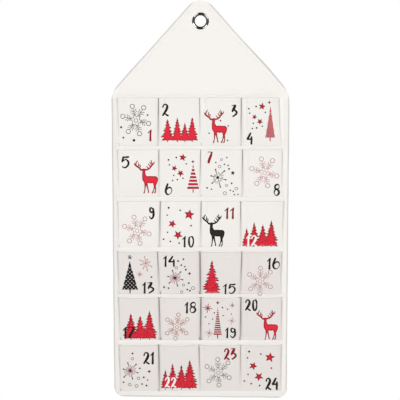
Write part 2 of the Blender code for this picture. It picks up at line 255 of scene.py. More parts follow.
class Coat:
    """A material in the making: its graph, its shader, its Object coordinates and the shared effects."""

    def __init__(self, name: str, effects: SharedEffects) -> None:
        """Starts the material.

        Args:
            name: The material's name.
            effects: The shared node groups.
        """
        self.material = bpy.data.materials.new(name)
        self.material.use_nodes = True
        self.graph = Graph(self.material.node_tree)
        self.shader = self.material.node_tree.nodes["Principled BSDF"].inputs
        self.place = self.graph.node("TexCoord").outputs["Object"]
        self.effects = effects

    def use(self, group: bpy.types.NodeTree, **settings: float) -> bpy.types.NodeOutputs:
        """Places a shared effect on the material's coordinates.

        Args:
            group: The node group.
            **settings: Values of its number inputs.

        Returns:
            The effect's outputs.
        """
        made = self.graph.tree.nodes.new("ShaderNodeGroup")
        made.node_tree = group
        for name, value in {"Vector": self.place, **settings}.items():
            self.graph.feed(value, made.inputs[name])
        return made.outputs

    def marks(self, attribute: str) -> Socket:
        """Returns a number that the piece's vertices carry.

        Args:
            attribute: The number's name.

        Returns:
            The number's socket.
        """
        made = self.graph.node("Attribute")
        made.attribute_name = attribute
        return made.outputs["Fac"]

    def tint(self, share: object, colour: Triple, low: float, high: float) -> Socket:
        """Shades a colour between a darker and a lighter tone.

        Args:
            share: The weight of the lighter tone.
            colour: The colour.
            low: Factor of the darker tone.
            high: Factor of the lighter tone.

        Returns:
            The shaded colour's socket.
        """
        return self.graph.blend(share, opaque(colour, low), opaque(colour, high))

    def raised(self, height: Socket, distance: float, strength: float, below: Socket | None = None) -> Socket:
        """Adds a Bump node.

        Args:
            height: The height's socket.
            distance: How far a height of 1 stands out.
            strength: The bump's strength.
            below: The normal that the bump goes on, if there is one.

        Returns:
            The normal's socket.
        """
        bump = self.graph.node("Bump", distance=distance, strength=strength, height=height)
        if below is not None:
            self.graph.feed(below, bump.inputs["Normal"])
        return bump.outputs[0]

    def finish(self, **inputs: object) -> Material:
        """Feeds the shader and hands over the material.

        Args:
            **inputs: Values or sockets by input name, with underscores for spaces.

        Returns:
            The material.
        """
        for name, value in inputs.items():
            self.graph.feed(value, self.shader[name.replace("_", " ")])
        return self.material


def opaque(colour: Triple, scale: float = 1.0) -> tuple[float, float, float, float]:
    """Returns a colour with full alpha, made lighter or darker by a factor."""
    return (*(part * scale for part in colour), 1.0)


@dataclass(frozen=True)
class ClothFinish:
    """Plain-weave cotton canvas with painted shade: darker in its weave's hollows, and darker where its vertices mark
    painted shade.
    """

    name: str
    colour: Triple
    contrast: float
    seed: float = 0.0
    soiled: Triple | None = None
    yarns: float = 1100.0
    weave_depth: float = 0.00022
    slub_depth: float = 0.00012
    # Tone of the painted shade in the weave's hollows.
    hollow_tone: float = 0.72
    slub_tone: float = 1.06

    def material(self, effects: SharedEffects) -> Material:
        """Makes the canvas from the shared node groups.

        Args:
            effects: The shared node groups.

        Returns:
            The material.
        """
        coat = Coat(self.name, effects)
        graph = coat.graph
        weave = coat.use(effects.weave, Yarns=self.yarns)
        worn = coat.use(effects.handling, Seed=self.seed)
        tone = coat.tint(graph.spread(worn["Tone"], 0.0, 1.0), self.colour, 1.0 - self.contrast, 1.0 + self.contrast)
        # Painted shade: the weave's hollows are darkened in the colour, on top of their bump.
        painted_hollow_shade = graph.maths("MULTIPLY", weave["Hollow"], 0.16)
        tone = graph.blend(painted_hollow_shade, tone, opaque(self.colour, self.hollow_tone))
        tone = graph.blend(graph.spread(worn["Slubs"], -0.04, 0.10), tone, opaque(self.colour, self.slub_tone))
        # Painted shade: the colour goes towards a dark shade colour as far as the vertices' painted-shade mark says.
        if self.soiled:
            tone = graph.blend(coat.marks("worn"), tone, opaque(self.soiled))
        yarn = coat.raised(weave["Height"], self.weave_depth, 0.6)
        return coat.finish(
            Base_Color=tone, Roughness=graph.spread(worn["Slubs"], 0.82, 0.95), Specular_IOR_Level=0.25,
            Normal=coat.raised(worn["Slubs"], self.slub_depth, 0.5, yarn), Sheen_Weight=0.08, Sheen_Roughness=0.6,
        )


@dataclass(frozen=True)
class InkFinish:
    """Screen-print ink, denser along its edges, that lets a little of the weave through."""

    name: str
    colour: Triple
    rim: Triple
    ground: Triple = (0.86, 0.84, 0.80)
    cover: float = 0.985
    yarns: float = 1100.0
    weave_depth: float = 0.00014
    seed: float = 3.0

    def material(self, effects: SharedEffects) -> Material:
        """Makes the ink from the shared node groups.

        Args:
            effects: The shared node groups.

        Returns:
            The material.
        """
        coat = Coat(self.name, effects)
        graph = coat.graph
        weave = coat.use(effects.weave, Yarns=self.yarns)
        worn = coat.use(effects.handling, Seed=self.seed)
        dense = coat.marks("dense")
        tones = [graph.blend(dense, opaque(self.colour, tone), opaque(self.rim, tone)) for tone in (0.92, 1.1)]
        ink = graph.blend(graph.spread(worn["Tone"], 0.0, 1.0), *tones)
        thin = graph.maths("MULTIPLY", weave["Hollow"], 1.0 - self.cover)
        return coat.finish(
            Base_Color=graph.blend(thin, ink, opaque(self.ground)), Roughness=graph.spread(worn["Slubs"], 0.55, 0.75),
            Normal=coat.raised(weave["Height"], self.weave_depth, 0.5), Specular_IOR_Level=0.04,
        )


@dataclass(frozen=True)
class FibreFinish:
    """Thread or felt: matted or twisted fibres."""

    name: str
    colour: Triple
    fineness: float
    relief: float
    roughness: float

    def material(self, effects: SharedEffects) -> Material:
        """Makes the fibres from the shared node groups.

        Args:
            effects: The shared node groups.

        Returns:
            The material.
        """
        coat = Coat(self.name, effects)
        height = coat.use(effects.fibres, Fineness=self.fineness)["Height"]
        return coat.finish(
            Base_Color=coat.tint(height, self.colour, 0.9, 1.08), Normal=coat.raised(height, self.relief, 0.6),
            Roughness=self.roughness, Sheen_Weight=0.1,
        )


@dataclass(frozen=True)
class PlatedFinish:
    """Polished gunmetal plating with fine turning marks and painted highlights on four patches of its outer shoulder.
    """

    name: str
    colour: Triple = (0.016, 0.012, 0.012)
    # Colour of the painted highlight patches.
    bright: Triple = (0.86, 0.84, 0.81)
    roughness: float = 0.13
    marks: float = 0.14
    fineness: float = 260.0
    seed: float = 7.0
    shoulder_start: float = 0.0172
    shoulder_width: float = 0.002

    def material(self, effects: SharedEffects) -> Material:
        """Makes the plating from the shared node groups.

        Args:
            effects: The shared node groups.

        Returns:
            The material.
        """
        coat = Coat(self.name, effects)
        graph = coat.graph
        brushed = coat.use(effects.fibres, Fineness=self.fineness)["Height"]
        # Painted highlight: lighter colour on four diagonal patches, varied by noise.
        highlight_unevenness = graph.spread(coat.use(effects.handling, Seed=self.seed)["Tone"], 0.5, 1.0)
        share = graph.maths("MULTIPLY", highlight_unevenness, self._worn(coat))
        return coat.finish(
            Base_Color=graph.blend(share, opaque(self.colour), opaque(self.bright)),
            Roughness=graph.spread(brushed, self.roughness, self.roughness + self.marks),
            Normal=coat.raised(brushed, 0.00004, 0.25), Metallic=1.0,
        )

    def _worn(self, coat: Coat) -> Socket:
        """Finds how strongly the plating's colour carries painted highlights: most on four patches of the flange's
        outer shoulder.

        Args:
            coat: The material in the making.

        Returns:
            The share's socket.
        """
        graph = coat.graph
        parts = graph.node("SeparateXYZ", vector=coat.place).outputs
        quarter = graph.maths("MULTIPLY_ADD", graph.maths("ARCTAN2", parts["Z"], parts["X"]), 4.0, 0.5)
        patches = graph.maths("MULTIPLY_ADD", graph.maths("COSINE", quarter), -1.6, 0.1)
        slope = 1.0 / self.shoulder_width
        outside = graph.maths("MULTIPLY_ADD", graph.radius(parts["X"], parts["Z"]), slope, -self.shoulder_start * slope)
        bounded = [graph.maths("MINIMUM", graph.maths("MAXIMUM", value, 0.0), 1.0) for value in (patches, outside)]
        return graph.maths("MULTIPLY", *bounded)


@dataclass(frozen=True)
class StripFinish:
    """Satin plastic of the hidden batten."""

    name: str
    colour: Triple = (0.70, 0.69, 0.66)
    fineness: float = 500.0

    def material(self, effects: SharedEffects) -> Material:
        """Makes the plastic from the shared node groups.

        Args:
            effects: The shared node groups.

        Returns:
            The material.
        """
        coat = Coat(self.name, effects)
        grain = coat.use(effects.fibres, Fineness=self.fineness)["Height"]
        return coat.finish(
            Base_Color=coat.tint(grain, self.colour, 0.96, 1.03), Roughness=coat.graph.spread(grain, 0.38, 0.52),
            Normal=coat.raised(grain, 0.00005, 0.3),
        )


class Ink(Enum):
    """The printing inks, each with its slot, its colour and the colour of its edges."""

    RED = ("ink_red", (0.76, 0.024, 0.046), (0.17, 0.003, 0.010))
    MAROON = ("ink_red", (0.33, 0.008, 0.022), (0.17, 0.003, 0.009))
    BLACK = ("ink_black", (0.024, 0.017, 0.015), (0.001, 0.001, 0.001))
    GREY = ("ink_grey", (0.055, 0.048, 0.045), (0.045, 0.040, 0.038))
    ROSE = ("ink_rose", (0.44, 0.165, 0.155), (0.38, 0.14, 0.13))
    WHITE = ("ink_white", (0.90, 0.87, 0.83), (0.88, 0.83, 0.79))


class Wardrobe:
    """Every material of the calendar, made once and shared by the pieces that wear it."""

    clean_rows = 3
    # Cloth colour of the upper rows, and of the lower rows darkened by painted shade.
    clean_cloth: Triple = (0.885, 0.856, 0.818)
    greyed_cloth: Triple = (0.800, 0.756, 0.726)
    # Painted shade colour for the grooves between pockets.
    groove_dust: Triple = (0.30, 0.27, 0.25)
    # Painted shade colour for the panel's rim, side margins and lower hem.
    handled_edge: Triple = (0.64, 0.615, 0.575)

    def __init__(self, rows: int) -> None:
        """Makes the materials.

        Args:
            rows: How many rows of pockets there are.
        """
        effects = SharedEffects()
        panel = ClothFinish("panel_canvas", (0.935, 0.908, 0.872), 0.015, soiled=self.handled_edge)
        self.panel = panel.material(effects)
        self.lining = ClothFinish("lining_canvas", (0.86, 0.83, 0.78), 0.035, 5.0).material(effects)
        self.pockets = []
        for row in range(1, rows + 1):
            # Rows below the upper ones get the darker colour: painted shade for the lesser light on the lower rows.
            colour = self.clean_cloth if row <= self.clean_rows else self.greyed_cloth
            cloth = ClothFinish(f"pocket_canvas_{row}", colour, 0.03, row * 1.7, self.groove_dust)
            self.pockets.append(cloth.material(effects))
        self.felt = FibreFinish("stiffening_felt", (0.78, 0.77, 0.74), 600.0, 0.0003, 0.95).material(effects)
        self.thread = FibreFinish("sewing_thread", (0.84, 0.81, 0.77), 2600.0, 0.00008, 0.55).material(effects)
        # Both platings carry the painted highlight patches, the washer's in a dimmer colour.
        self.metal = PlatedFinish("gunmetal_plating").material(effects)
        self.washer = PlatedFinish("washer_plating", (0.06, 0.055, 0.055), (0.20, 0.19, 0.18), 0.24).material(effects)
        self.batten = StripFinish("batten_plastic").material(effects)
        self.inks = {ink: InkFinish(f"ink_{ink.name.lower()}_print", *ink.value[1:]).material(effects) for ink in Ink}


# Finished pieces

def add_object(name: str, data: bpy.types.ID | None) -> Piece:
    """Puts a new object in the scene, at the origin.

    Args:
        name: Its name.
        data: Its mesh, camera or lamp.

    Returns:
        The object.
    """
    made = bpy.data.objects.new(name, data)
    bpy.context.scene.collection.objects.link(made)
    return made


def to_mesh(bm: BMesh, name: str) -> bpy.types.Mesh:
    """Turns a bmesh, which is freed, into a mesh.

    Args:
        bm: The bmesh.
        name: The mesh's name.

    Returns:
        The mesh.
    """
    mesh = bpy.data.meshes.new(name)
    bm.to_mesh(mesh)
    bm.free()
    return mesh


def place_piece(
    name: str, bm: BMesh, material: Material, replaces: Sequence[str] = (), sharp_angle: float | None = None,
) -> Piece:
    """Turns a bmesh into a smooth piece that rides on the part's body.

    Args:
        name: The piece's name.
        bm: The mesh, which is freed.
        material: Its material.
        replaces: CAD nodes that it stands for.
        sharp_angle: Edges that turn by more degrees than this stay sharp.

    Returns:
        The piece.
    """
    mesh = to_mesh(bm, name)
    mesh.shade_smooth()
    if sharp_angle is not None:
        mesh.set_sharp_from_angle(angle=math.radians(sharp_angle))
    mesh.materials.append(material)
    piece = add_object(name, mesh)
    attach(piece, BODY)
    if replaces:
        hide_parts(*replaces)
    LOG.info("%s: %d faces", name, len(mesh.polygons))
    return piece


def back_it(bm: BMesh) -> list[BMVert]:
    """Gives an open sheet a second side and returns that side's vertices."""
    grown = bmesh.ops.extrude_face_region(bm, geom=bm.faces[:], use_keep_orig=True)["geom"]
    return [item for item in grown if isinstance(item, BMVert)]


def face_out(bm: BMesh) -> None:
    """Turns every face of a closed shell outwards."""
    bmesh.ops.recalc_face_normals(bm, faces=bm.faces[:])


def smooth_share(value: float) -> float:
    """Returns a share from 0 to 1 with soft ends."""
    value = min(max(value, 0.0), 1.0)
    return value * value * (3.0 - 2.0 * value)


def bell(offset: float, width: float) -> float:
    """Returns 1 in the middle, falling off softly over a width."""
    return math.exp(-(offset / width) ** 2)


def grain(x: float, y: float, z: float) -> float:
    """Returns smooth noise at a place."""
    return noise.noise(Vector((x, y, z)))


def slow_grain(x: float, y: float, z: float, octaves: int = 2) -> float:
    """Returns layered noise at a place."""
    return noise.fractal(Vector((x, y, z)), 1.0, 2.0, octaves)


def interpolate(value: float, table: Sequence[Point]) -> float:
    """Reads a value off a table of straight stretches.

    Args:
        value: Where to read.
        table: Pairs of place and value, in rising order of place.

    Returns:
        The value there, held at both ends.
    """
    if value <= table[0][0]:
        return table[0][1]
    for (start, low), (end, high) in pairwise(table):
        if value <= end:
            return low + (high - low) * (value - start) / (end - start)
    return table[-1][1]


# The plan that all sub-assemblies share

@dataclass(frozen=True)
class RowPlan:
    """One row's heights and seams."""

    number: int
    mouth: float
    foot: float
    sag: float
    seams_mouth: tuple[float, ...]
    seams_foot: tuple[float, ...]
    foot_hem: float
    groove: float
    groove_foot: float

    def rise(self, z: float) -> float:
        """Returns the share of the way from the foot hem to the mouth."""
        start = self.foot + self.foot_hem
        return max(0.0, (z - start) / (self.mouth - start))

    def climb(self, z: float) -> float:
        """Returns the share of the way from the lower edge to the mouth."""
        return (z - self.foot) / (self.mouth - self.foot)

    def seam(self, index: int, z: float) -> float:
        """Returns where an upright seam lies across the panel at a height."""
        low, high = self.seams_foot[index], self.seams_mouth[index]
        return low + (high - low) * self.climb(z)

    def half_groove(self, z: float) -> float:
        """Returns half the width of the land between two pockets at a height."""
        return (self.groove_foot + (self.groove - self.groove_foot) * min(1.0, self.climb(z))) / 2


@dataclass(frozen=True)
class CalendarPlan:
    """Sizes of the panel and of the rows, the same as in the solids."""

    canvas: float = 0.0008
    fit_gap: float = 0.0003
    pitch: float = 0.1025
    pocket_height: float = 0.115
    mouth_sag: float = 0.0018
    foot_hem: float = 0.006
    groove: float = 0.0042
    groove_foot: float = 0.003
    row_gap: float = 0.0103
    edge_hem: float = 0.010
    apex_radius: float = 0.039
    shoulder_radius: float = 0.060
    corner_radius: float = 0.025
    least_radius: float = 0.002
    half_width: float = 0.22245
    foot_taper: float = 0.0033
    apex_z: float = 0.0702852
    shoulder_z: float = -0.1767703
    first_mouth: float = -0.1902703
    bottom_z: float = -0.9494171
    bottom_drop: float = 0.004
    channel_top: float = -0.1700703
    channel_foot: float = -0.1827703
    lining_back: float = -0.0020
    lining_rim: float = -0.0036
    panel_rim: float = -0.0039
    panel_front: float = -0.0055
    arc_steps: int = 14
    side_step: float = 0.0065
    height_shares: tuple[float, ...] = (1.04, 1.03, 1.01, 0.94, 0.95, 1.04)
    gap_shares: tuple[float, ...] = (0.95, 1.05, 1.10, 0.80, 1.15)
    sag_shares: tuple[float, ...] = (0.3, 0.4, 0.4, 1.0, 0.9, 1.0)
    seam_mouth_shares: tuple[tuple[float, ...], ...] = (
        (-2.03, -1.03, -0.02, 0.985, 1.91),
        (-2.03, -1.02, 0.0, 1.03, 2.0),
        (-2.03, -0.99, 0.02, 0.98, 2.04),
        (-2.04, -1.06, -0.025, 1.01, 2.0),
        (-2.02, -1.015, 0.0, 0.985, 2.005),
        (-2.01, -1.04, -0.035, 0.99, 2.0),
    )
    seam_foot_shares: tuple[tuple[float, ...], ...] = (
        (-2.01, -1.03, -0.005, 1.0, 1.98),
        (-2.015, -1.02, -0.01, 1.03, 2.015),
        (-2.025, -1.01, 0.0, 0.99, 2.025),
        (-2.02, -1.01, 0.0, 0.985, 1.99),
        (-2.0, -1.0, 0.0, 0.99, 2.01),
        (-2.0, -1.015, -0.005, 0.995, 2.0),
    )

    def rows(self) -> list[RowPlan]:
        """Returns the six rows, top row first.

        Returns:
            The rows' plans.
        """
        rows = []
        mouth = self.first_mouth
        for index, share in enumerate(self.height_shares):
            foot = mouth - self.pocket_height * share
            seams = [
                tuple(self.pitch * seam for seam in shares[index])
                for shares in (self.seam_mouth_shares, self.seam_foot_shares)
            ]
            sag = self.mouth_sag * self.sag_shares[index]
            rows.append(RowPlan(index + 1, mouth, foot, sag, *seams, self.foot_hem, self.groove, self.groove_foot))
            if index < len(self.gap_shares):
                mouth = foot - self.row_gap * self.gap_shares[index]
        return rows

    def corners(self) -> list[Vector]:
        """Returns the outline's sharp corners, clockwise from the apex.

        Returns:
            Places across the panel and up.
        """
        half, foot, drop = self.half_width, self.half_width - self.foot_taper, self.bottom_drop / 2
        places = (
            (0.0, self.apex_z), (half, self.shoulder_z), (foot, self.bottom_z - drop), (-foot, self.bottom_z + drop),
            (-half, self.shoulder_z),
        )
        return [Vector(place) for place in places]

    def radii(self) -> list[float]:
        """Returns the corners' radii, in the same order."""
        return [self.apex_radius, self.shoulder_radius, self.corner_radius, self.corner_radius, self.shoulder_radius]

    def sides(self) -> list[tuple[Vector, Vector, Vector]]:
        """Returns the sides clockwise, each by its start, its direction and the direction into the panel.

        Returns:
            The sides.
        """
        corners = self.corners()
        sides = []
        for here, after in zip(corners, corners[1:] + corners[:1]):
            along = (after - here).normalized()
            sides.append((here, along, Vector((along.y, -along.x))))
        return sides

    def narrowing(self, z: float) -> float:
        """Returns how much nearer to the middle the panel's long sides lie at a height than at its shoulders."""
        share = (self.shoulder_z - z) / (self.shoulder_z - self.bottom_z)
        return self.foot_taper * min(1.0, max(0.0, share))

    def inset_corners(self, inset: float) -> list[Vector]:
        """Returns the corners where the sides meet once they are moved inwards by a distance.

        Args:
            inset: The distance.

        Returns:
            The moved corners, in the same order.
        """
        moved = [(here + inward * inset, along) for here, along, inward in self.sides()]
        result = []
        for (point_a, along_a), (point_b, along_b) in zip(moved[-1:] + moved[:-1], moved):
            gap = point_b - point_a
            result.append(point_a + along_a * (gap.cross(along_b) / along_a.cross(along_b)))
        return result

    def _arc(self, corners: Sequence[Vector], index: int, radius: float) -> list[Vector]:
        """Rounds one corner.

        Args:
            corners: All corners, clockwise.
            index: The corner's index.
            radius: Its radius.

        Returns:
            Points along the rounding, clockwise.
        """
        corner = corners[index]
        to_last = (corners[index - 1] - corner).normalized()
        to_next = (corners[(index + 1) % len(corners)] - corner).normalized()
        half_angle = to_last.angle(to_next) / 2
        centre = corner + (to_last + to_next).normalized() * (radius / math.sin(half_angle))
        spoke = corner + to_last * (radius / math.tan(half_angle)) - centre
        turn = math.pi - 2 * half_angle
        arc = []
        for step in range(self.arc_steps + 1):
            cosine, sine = math.cos(turn * step / self.arc_steps), -math.sin(turn * step / self.arc_steps)
            arc.append(centre + Vector((spoke.x * cosine - spoke.y * sine, spoke.x * sine + spoke.y * cosine)))
        return arc

    def ring(self, inset: float) -> list[Vector]:
        """Returns an evenly divided rounded outline that has the same number of points at every inset.

        Args:
            inset: How far it lies inside the panel's edge.

        Returns:
            Points across the panel and up, clockwise.
        """
        corners, outer = self.inset_corners(inset), self.inset_corners(0.0)
        radii = [max(radius - inset, self.least_radius) for radius in self.radii()]
        arcs = [self._arc(corners, index, radius) for index, radius in enumerate(radii)]
        points = []
        for index, arc in enumerate(arcs):
            after = (index + 1) % len(arcs)
            steps = max(4, round((outer[after] - outer[index]).length / self.side_step))
            points += arc + [arc[-1].lerp(arcs[after][0], step / steps) for step in range(1, steps)]
        return points

    def edge_distance(self, x: float, z: float) -> float:
        """Returns how far a point lies inside the nearest side of the outline."""
        point = Vector((x, z))
        return min((point - here).dot(inward) for here, _, inward in self.sides())

    def flat_area(self) -> float:
        """Returns the area that the sharp outline encloses."""
        corners = self.corners()
        return abs(sum(here.cross(after) for here, after in zip(corners, corners[1:] + corners[:1]))) / 2


# Panel and lining

@dataclass
class HangingPanel:
    """The canvas panel, its lining and the stiffening sheets between them."""

    plan: CalendarPlan
    wardrobe: Wardrobe
    grid_step: float = 0.0075
    gable_wave: float = 0.0011
    margin_wave: float = 0.00035
    band_wave: float = 0.00018
    lining_wave: float = 0.0005
    eyelet_pull: float = 0.0009
    eyelet_reach: float = 0.030
    pull_end: float = 0.14
    channel_rise: float = 0.0004
    channel_valley: float = 0.00035
    edge_ripple: float = 0.0008
    slope_bulge: float = 0.0036
    bulge_z: float = -0.112
    bulge_reach: float = 0.030
    hole_radius: float = 0.015
    felt_rounding: float = 0.0002
    cut_allowance: float = 0.012
    margin_x: float = 0.2062
    # Painted shade on the side margins beside the pockets, more on the left, and on the lower hem.
    left_margin_wear: float = 0.28
    right_margin_wear: float = 0.10
    hem_wear: float = 0.20
    crease_start: Point = (-0.2055, -0.9345)
    crease_end: Point = (-0.178, -0.9395)
    insets: tuple[float, ...] = (
        0.0004, 0.0012, 0.0025, 0.0038, 0.0060, 0.0078, 0.0091, 0.0100, 0.0109, 0.0125, 0.016, 0.022,
    )
    channel_steps: tuple[float, ...] = (-0.0030, -0.0016, -0.0008, 0.0, 0.0008, 0.0016, 0.0030)
    front_edge: tuple[Point, ...] = (
        (0.0, -1.55), (0.0004, -1.40), (0.0012, -0.85), (0.0025, 0.0), (0.0038, 0.38), (0.0060, 0.48), (0.0078, 0.25),
        (0.0091, -0.20), (0.0100, -0.70), (0.0109, -0.20), (0.0125, 0.12), (0.016, 0.15), (0.022, 0.0),
    )
    back_edge: tuple[Point, ...] = (
        (0.0, -1.15), (0.0004, -0.75), (0.0012, -0.25), (0.0025, 0.08), (0.0060, 0.32), (0.0078, 0.2),
        (0.0091, -0.1), (0.0100, -0.35), (0.0109, -0.1), (0.014, 0.05), (0.022, 0.0),
    )

    def ripple(self, x: float, z: float) -> Point:
        """Moves a point of the outline a little, as real sewn edges wander.

        Args:
            x: Place across.
            z: Height.

        Returns:
            The moved place and height.
        """
        inside = max(0.0, self.plan.edge_distance(x, z))
        weight = 1.0 - smooth_share((inside - 0.004) / 0.016)
        if weight <= 0.0:
            return x, z
        across, up = (self.edge_ripple * grain(x * 14.0, seed, z * 14.0) for seed in (3.1, 9.7))
        bulge = self.slope_bulge * bell(z - self.bulge_z, self.bulge_reach) if x > 0 else 0.0
        return x + (across + bulge) * weight, z + up * weight

    def front_relief(self, x: float, z: float) -> float:
        """Returns how far the panel's face stands out towards the room, beyond its plane.

        Args:
            x: Place across.
            z: Height.

        Returns:
            The stand-out in metres.
        """
        inside = self.plan.edge_distance(x, z)
        gable = smooth_share((z - self.plan.channel_top - 0.002) / 0.02)
        body = smooth_share((inside - 0.012) / 0.02)
        relief = interpolate(inside, self.front_edge) * MM
        relief += gable * body * self.gable_wave * (0.35 + slow_grain(x * 7.0, 0.4, z * 5.0))
        relief += self.margin_wave * grain(x * 90.0, 5.0, z * 90.0) * bell(inside - self.plan.edge_hem, 0.004)
        relief += (1.0 - gable) * self.band_wave * grain(x * 40.0, 7.0, z * 60.0)
        return relief + self.channel(x, z) + self.pull(x, z) + self.crease(x, z)

    def crease(self, x: float, z: float) -> float:
        """Returns the relief of the fold that has set in the lower left corner.

        Args:
            x: Place across.
            z: Height.

        Returns:
            The stand-out in metres.
        """
        start = Vector(self.crease_start)
        along = Vector(self.crease_end) - start
        offset = Vector((x, z)) - start
        share = offset.dot(along) / along.length_squared
        if not -0.5 < share < 1.6:
            return 0.0
        aside = along.cross(offset) / along.length + 0.0016 * math.sin(share * 4.0)
        fade = smooth_share((share + 0.5) * 1.6) * smooth_share((1.6 - share) * 1.4)
        return fade * (0.0011 * bell(aside + 0.0032, 0.0026) - 0.0014 * bell(aside, 0.0012))

    def channel(self, x: float, z: float) -> float:
        """Returns the relief of the stitched channel: two valleys and a padded band between them.

        Args:
            x: Place across.
            z: Height.

        Returns:
            The stand-out in metres.
        """
        if self.plan.edge_distance(x, z) < self.plan.edge_hem:
            return 0.0
        top, foot = self.plan.channel_top, self.plan.channel_foot
        valley = sum(bell(z - line, 0.0009) for line in (top, foot))
        pad = smooth_share(1.0 - abs(z - (top + foot) / 2) / ((top - foot) / 2))
        pucker = 0.5 + 0.5 * grain(x * 120.0, 1.0, z * 40.0)
        return self.channel_rise * pad * (0.75 + 0.4 * pucker) - self.channel_valley * valley * (0.7 + 0.5 * pucker)

    def pull(self, x: float, z: float) -> float:
        """Returns the shallow folds that run out from the clamped eyelet.

        Args:
            x: Place across.
            z: Height.

        Returns:
            The stand-out in metres.
        """
        distance = math.hypot(x, z)
        if distance > self.pull_end:
            return 0.0
        away = max(0.0, distance - 0.020)
        angle = math.atan2(z, x)
        folds = math.sin(angle * 5.0 + 0.6) * 0.6 + math.sin(angle * 9.0 + 2.0) * 0.4
        folds *= (1.0 - math.exp(-away / 0.004)) * math.exp(-away / self.eyelet_reach)
        return self.eyelet_pull * folds - 0.0003 * math.exp(-away / 0.006)

    def front_point(self, x: float, z: float, lift: float = 0.0) -> Vector:
        """Returns the point of the panel's face at a place, lifted off it by a distance."""
        moved_x, moved_z = self.ripple(x, z)
        return Vector((moved_x, self.plan.panel_front - self.front_relief(x, z) - lift, moved_z))

    def back_point(self, x: float, z: float, lift: float = 0.0) -> Vector:
        """Returns the point of the lining's face at a place, lifted off it towards the wall.

        Args:
            x: Place across.
            z: Height.
            lift: How far it is lifted.

        Returns:
            The point.
        """
        inside = self.plan.edge_distance(x, z)
        body = smooth_share((inside - 0.012) / 0.02) * smooth_share((math.hypot(x, z) - 0.022) / 0.02)
        relief = interpolate(inside, self.back_edge) * MM
        relief += body * self.lining_wave * slow_grain(x * 6.0, 8.4, z * 4.0)
        moved_x, moved_z = self.ripple(x, z)
        return Vector((moved_x, self.plan.lining_back + relief + lift, moved_z))

    def _band(self, bm: BMesh, verts: list[BMVert], points: Sequence[Vector]) -> list[BMVert]:
        """Extrudes a closed loop to its next ring.

        Args:
            bm: The mesh.
            verts: The loop's vertices in order.
            points: Where the new vertices go.

        Returns:
            The new loop in the same order.
        """
        edges = [bm.edges.get((vert, after)) for vert, after in zip(verts, verts[1:] + verts[:1])]
        grown = bmesh.ops.extrude_edge_only(bm, edges=edges)["geom"]
        fresh = {item for item in grown if isinstance(item, BMVert)}
        loop = []
        for vert, point in zip(verts, points):
            loop.append(next(edge.other_vert(vert) for edge in vert.link_edges if edge.other_vert(vert) in fresh))
            loop[-1].co = point
        return loop

    def _sheet_mesh(self, face: Callable[[float, float], Vector], rim: float, inner: float) -> BMesh:
        """Builds a bordered sheet as one closed shell.

        Args:
            face: Gives the outer face's point at a place.
            rim: Depth of the turned-in border's inner side.
            inner: Depth of the single cloth's inner side.

        Returns:
            The mesh, with its outer face cut to a fine grid and the eyelet's hole in it.
        """
        plan = self.plan
        bm = bmesh.new()
        first = plan.ring(0.0)
        bmesh.ops.create_circle(bm, cap_ends=False, segments=len(first), radius=1.0)
        edge = list(bm.verts)
        for vert, point in zip(edge, first):
            vert.co = face(*point)
        loop = edge
        for inset in self.insets:
            loop = self._band(bm, loop, [face(*point) for point in plan.ring(inset)])
        region = bm.faces.new(loop)
        back = edge
        for inset, depth in ((0.0003, rim), (0.004, rim), (plan.edge_hem, rim), (plan.edge_hem + 0.0004, inner)):
            moved = [self.ripple(*point) for point in plan.ring(inset)]
            back = self._band(bm, back, [Vector((x, depth, z)) for x, z in moved])
        bm.faces.new(back)
        self._cut_grid(bm, region, face)
        face_out(bm)
        return self._holed(bm)

    def _cut_grid(self, bm: BMesh, region: bmesh.types.BMFace, face: Callable[[float, float], Vector]) -> None:
        """Cuts the middle of a sheet into a grid and lays it on its surface.

        Args:
            bm: The mesh.
            region: The one large face.
            face: Gives the surface's point at a place.
        """
        plan = self.plan
        reach = int(plan.half_width / self.grid_step)
        columns = [index * self.grid_step for index in range(-reach, reach + 1)]
        levels = list(np.arange(plan.bottom_z, plan.apex_z, self.grid_step))
        levels += [line + step for line in (plan.channel_top, plan.channel_foot) for step in self.channel_steps]
        border = {vert: vert.co.copy() for vert in region.verts}
        for vert in border:
            vert.co.y = 0.0
        faces = [region]
        for normal, places in (((1, 0, 0), columns), ((0, 0, 1), levels)):
            for place in places:
                geometry = {item for part in faces for item in (*part.verts, *part.edges, part)}
                cut = bmesh.ops.bisect_plane(
                    bm, geom=list(geometry), dist=1e-7, plane_co=Vector(normal) * place, plane_no=normal,
                )
                faces = [item for item in cut["geom"] if isinstance(item, bmesh.types.BMFace)]
        for vert in {vert for part in faces for vert in part.verts}:
            vert.co = border[vert] if vert in border else face(vert.co.x, vert.co.z)

    def _holed(self, bm: BMesh) -> BMesh:
        """Cuts the eyelet's hole with a boolean cylinder.

        Args:
            bm: The sheet's mesh, which is freed.

        Returns:
            The cut mesh.
        """
        sheet = add_object("sheet_to_cut", to_mesh(bm, "sheet_to_cut"))
        round_bar = bmesh.new()
        bmesh.ops.create_cone(
            round_bar, cap_ends=True, segments=64, radius1=self.hole_radius, radius2=self.hole_radius, depth=0.03,
            matrix=Matrix.Rotation(math.radians(90.0), 4, "X"),
        )
        cutter = add_object("hole_cutter", to_mesh(round_bar, "hole_cutter"))
        cut = sheet.modifiers.new("hole", "BOOLEAN")
        cut.operation, cut.solver, cut.object = "DIFFERENCE", "EXACT", cutter
        result = bpy.data.meshes.new_from_object(sheet.evaluated_get(bpy.context.evaluated_depsgraph_get()))
        holed = bmesh.new()
        holed.from_mesh(result)
        used = (sheet.data, cutter.data, result)
        for old in (sheet, cutter):
            bpy.data.objects.remove(old, do_unlink=True)
        for mesh in used:
            bpy.data.meshes.remove(mesh)
        return holed

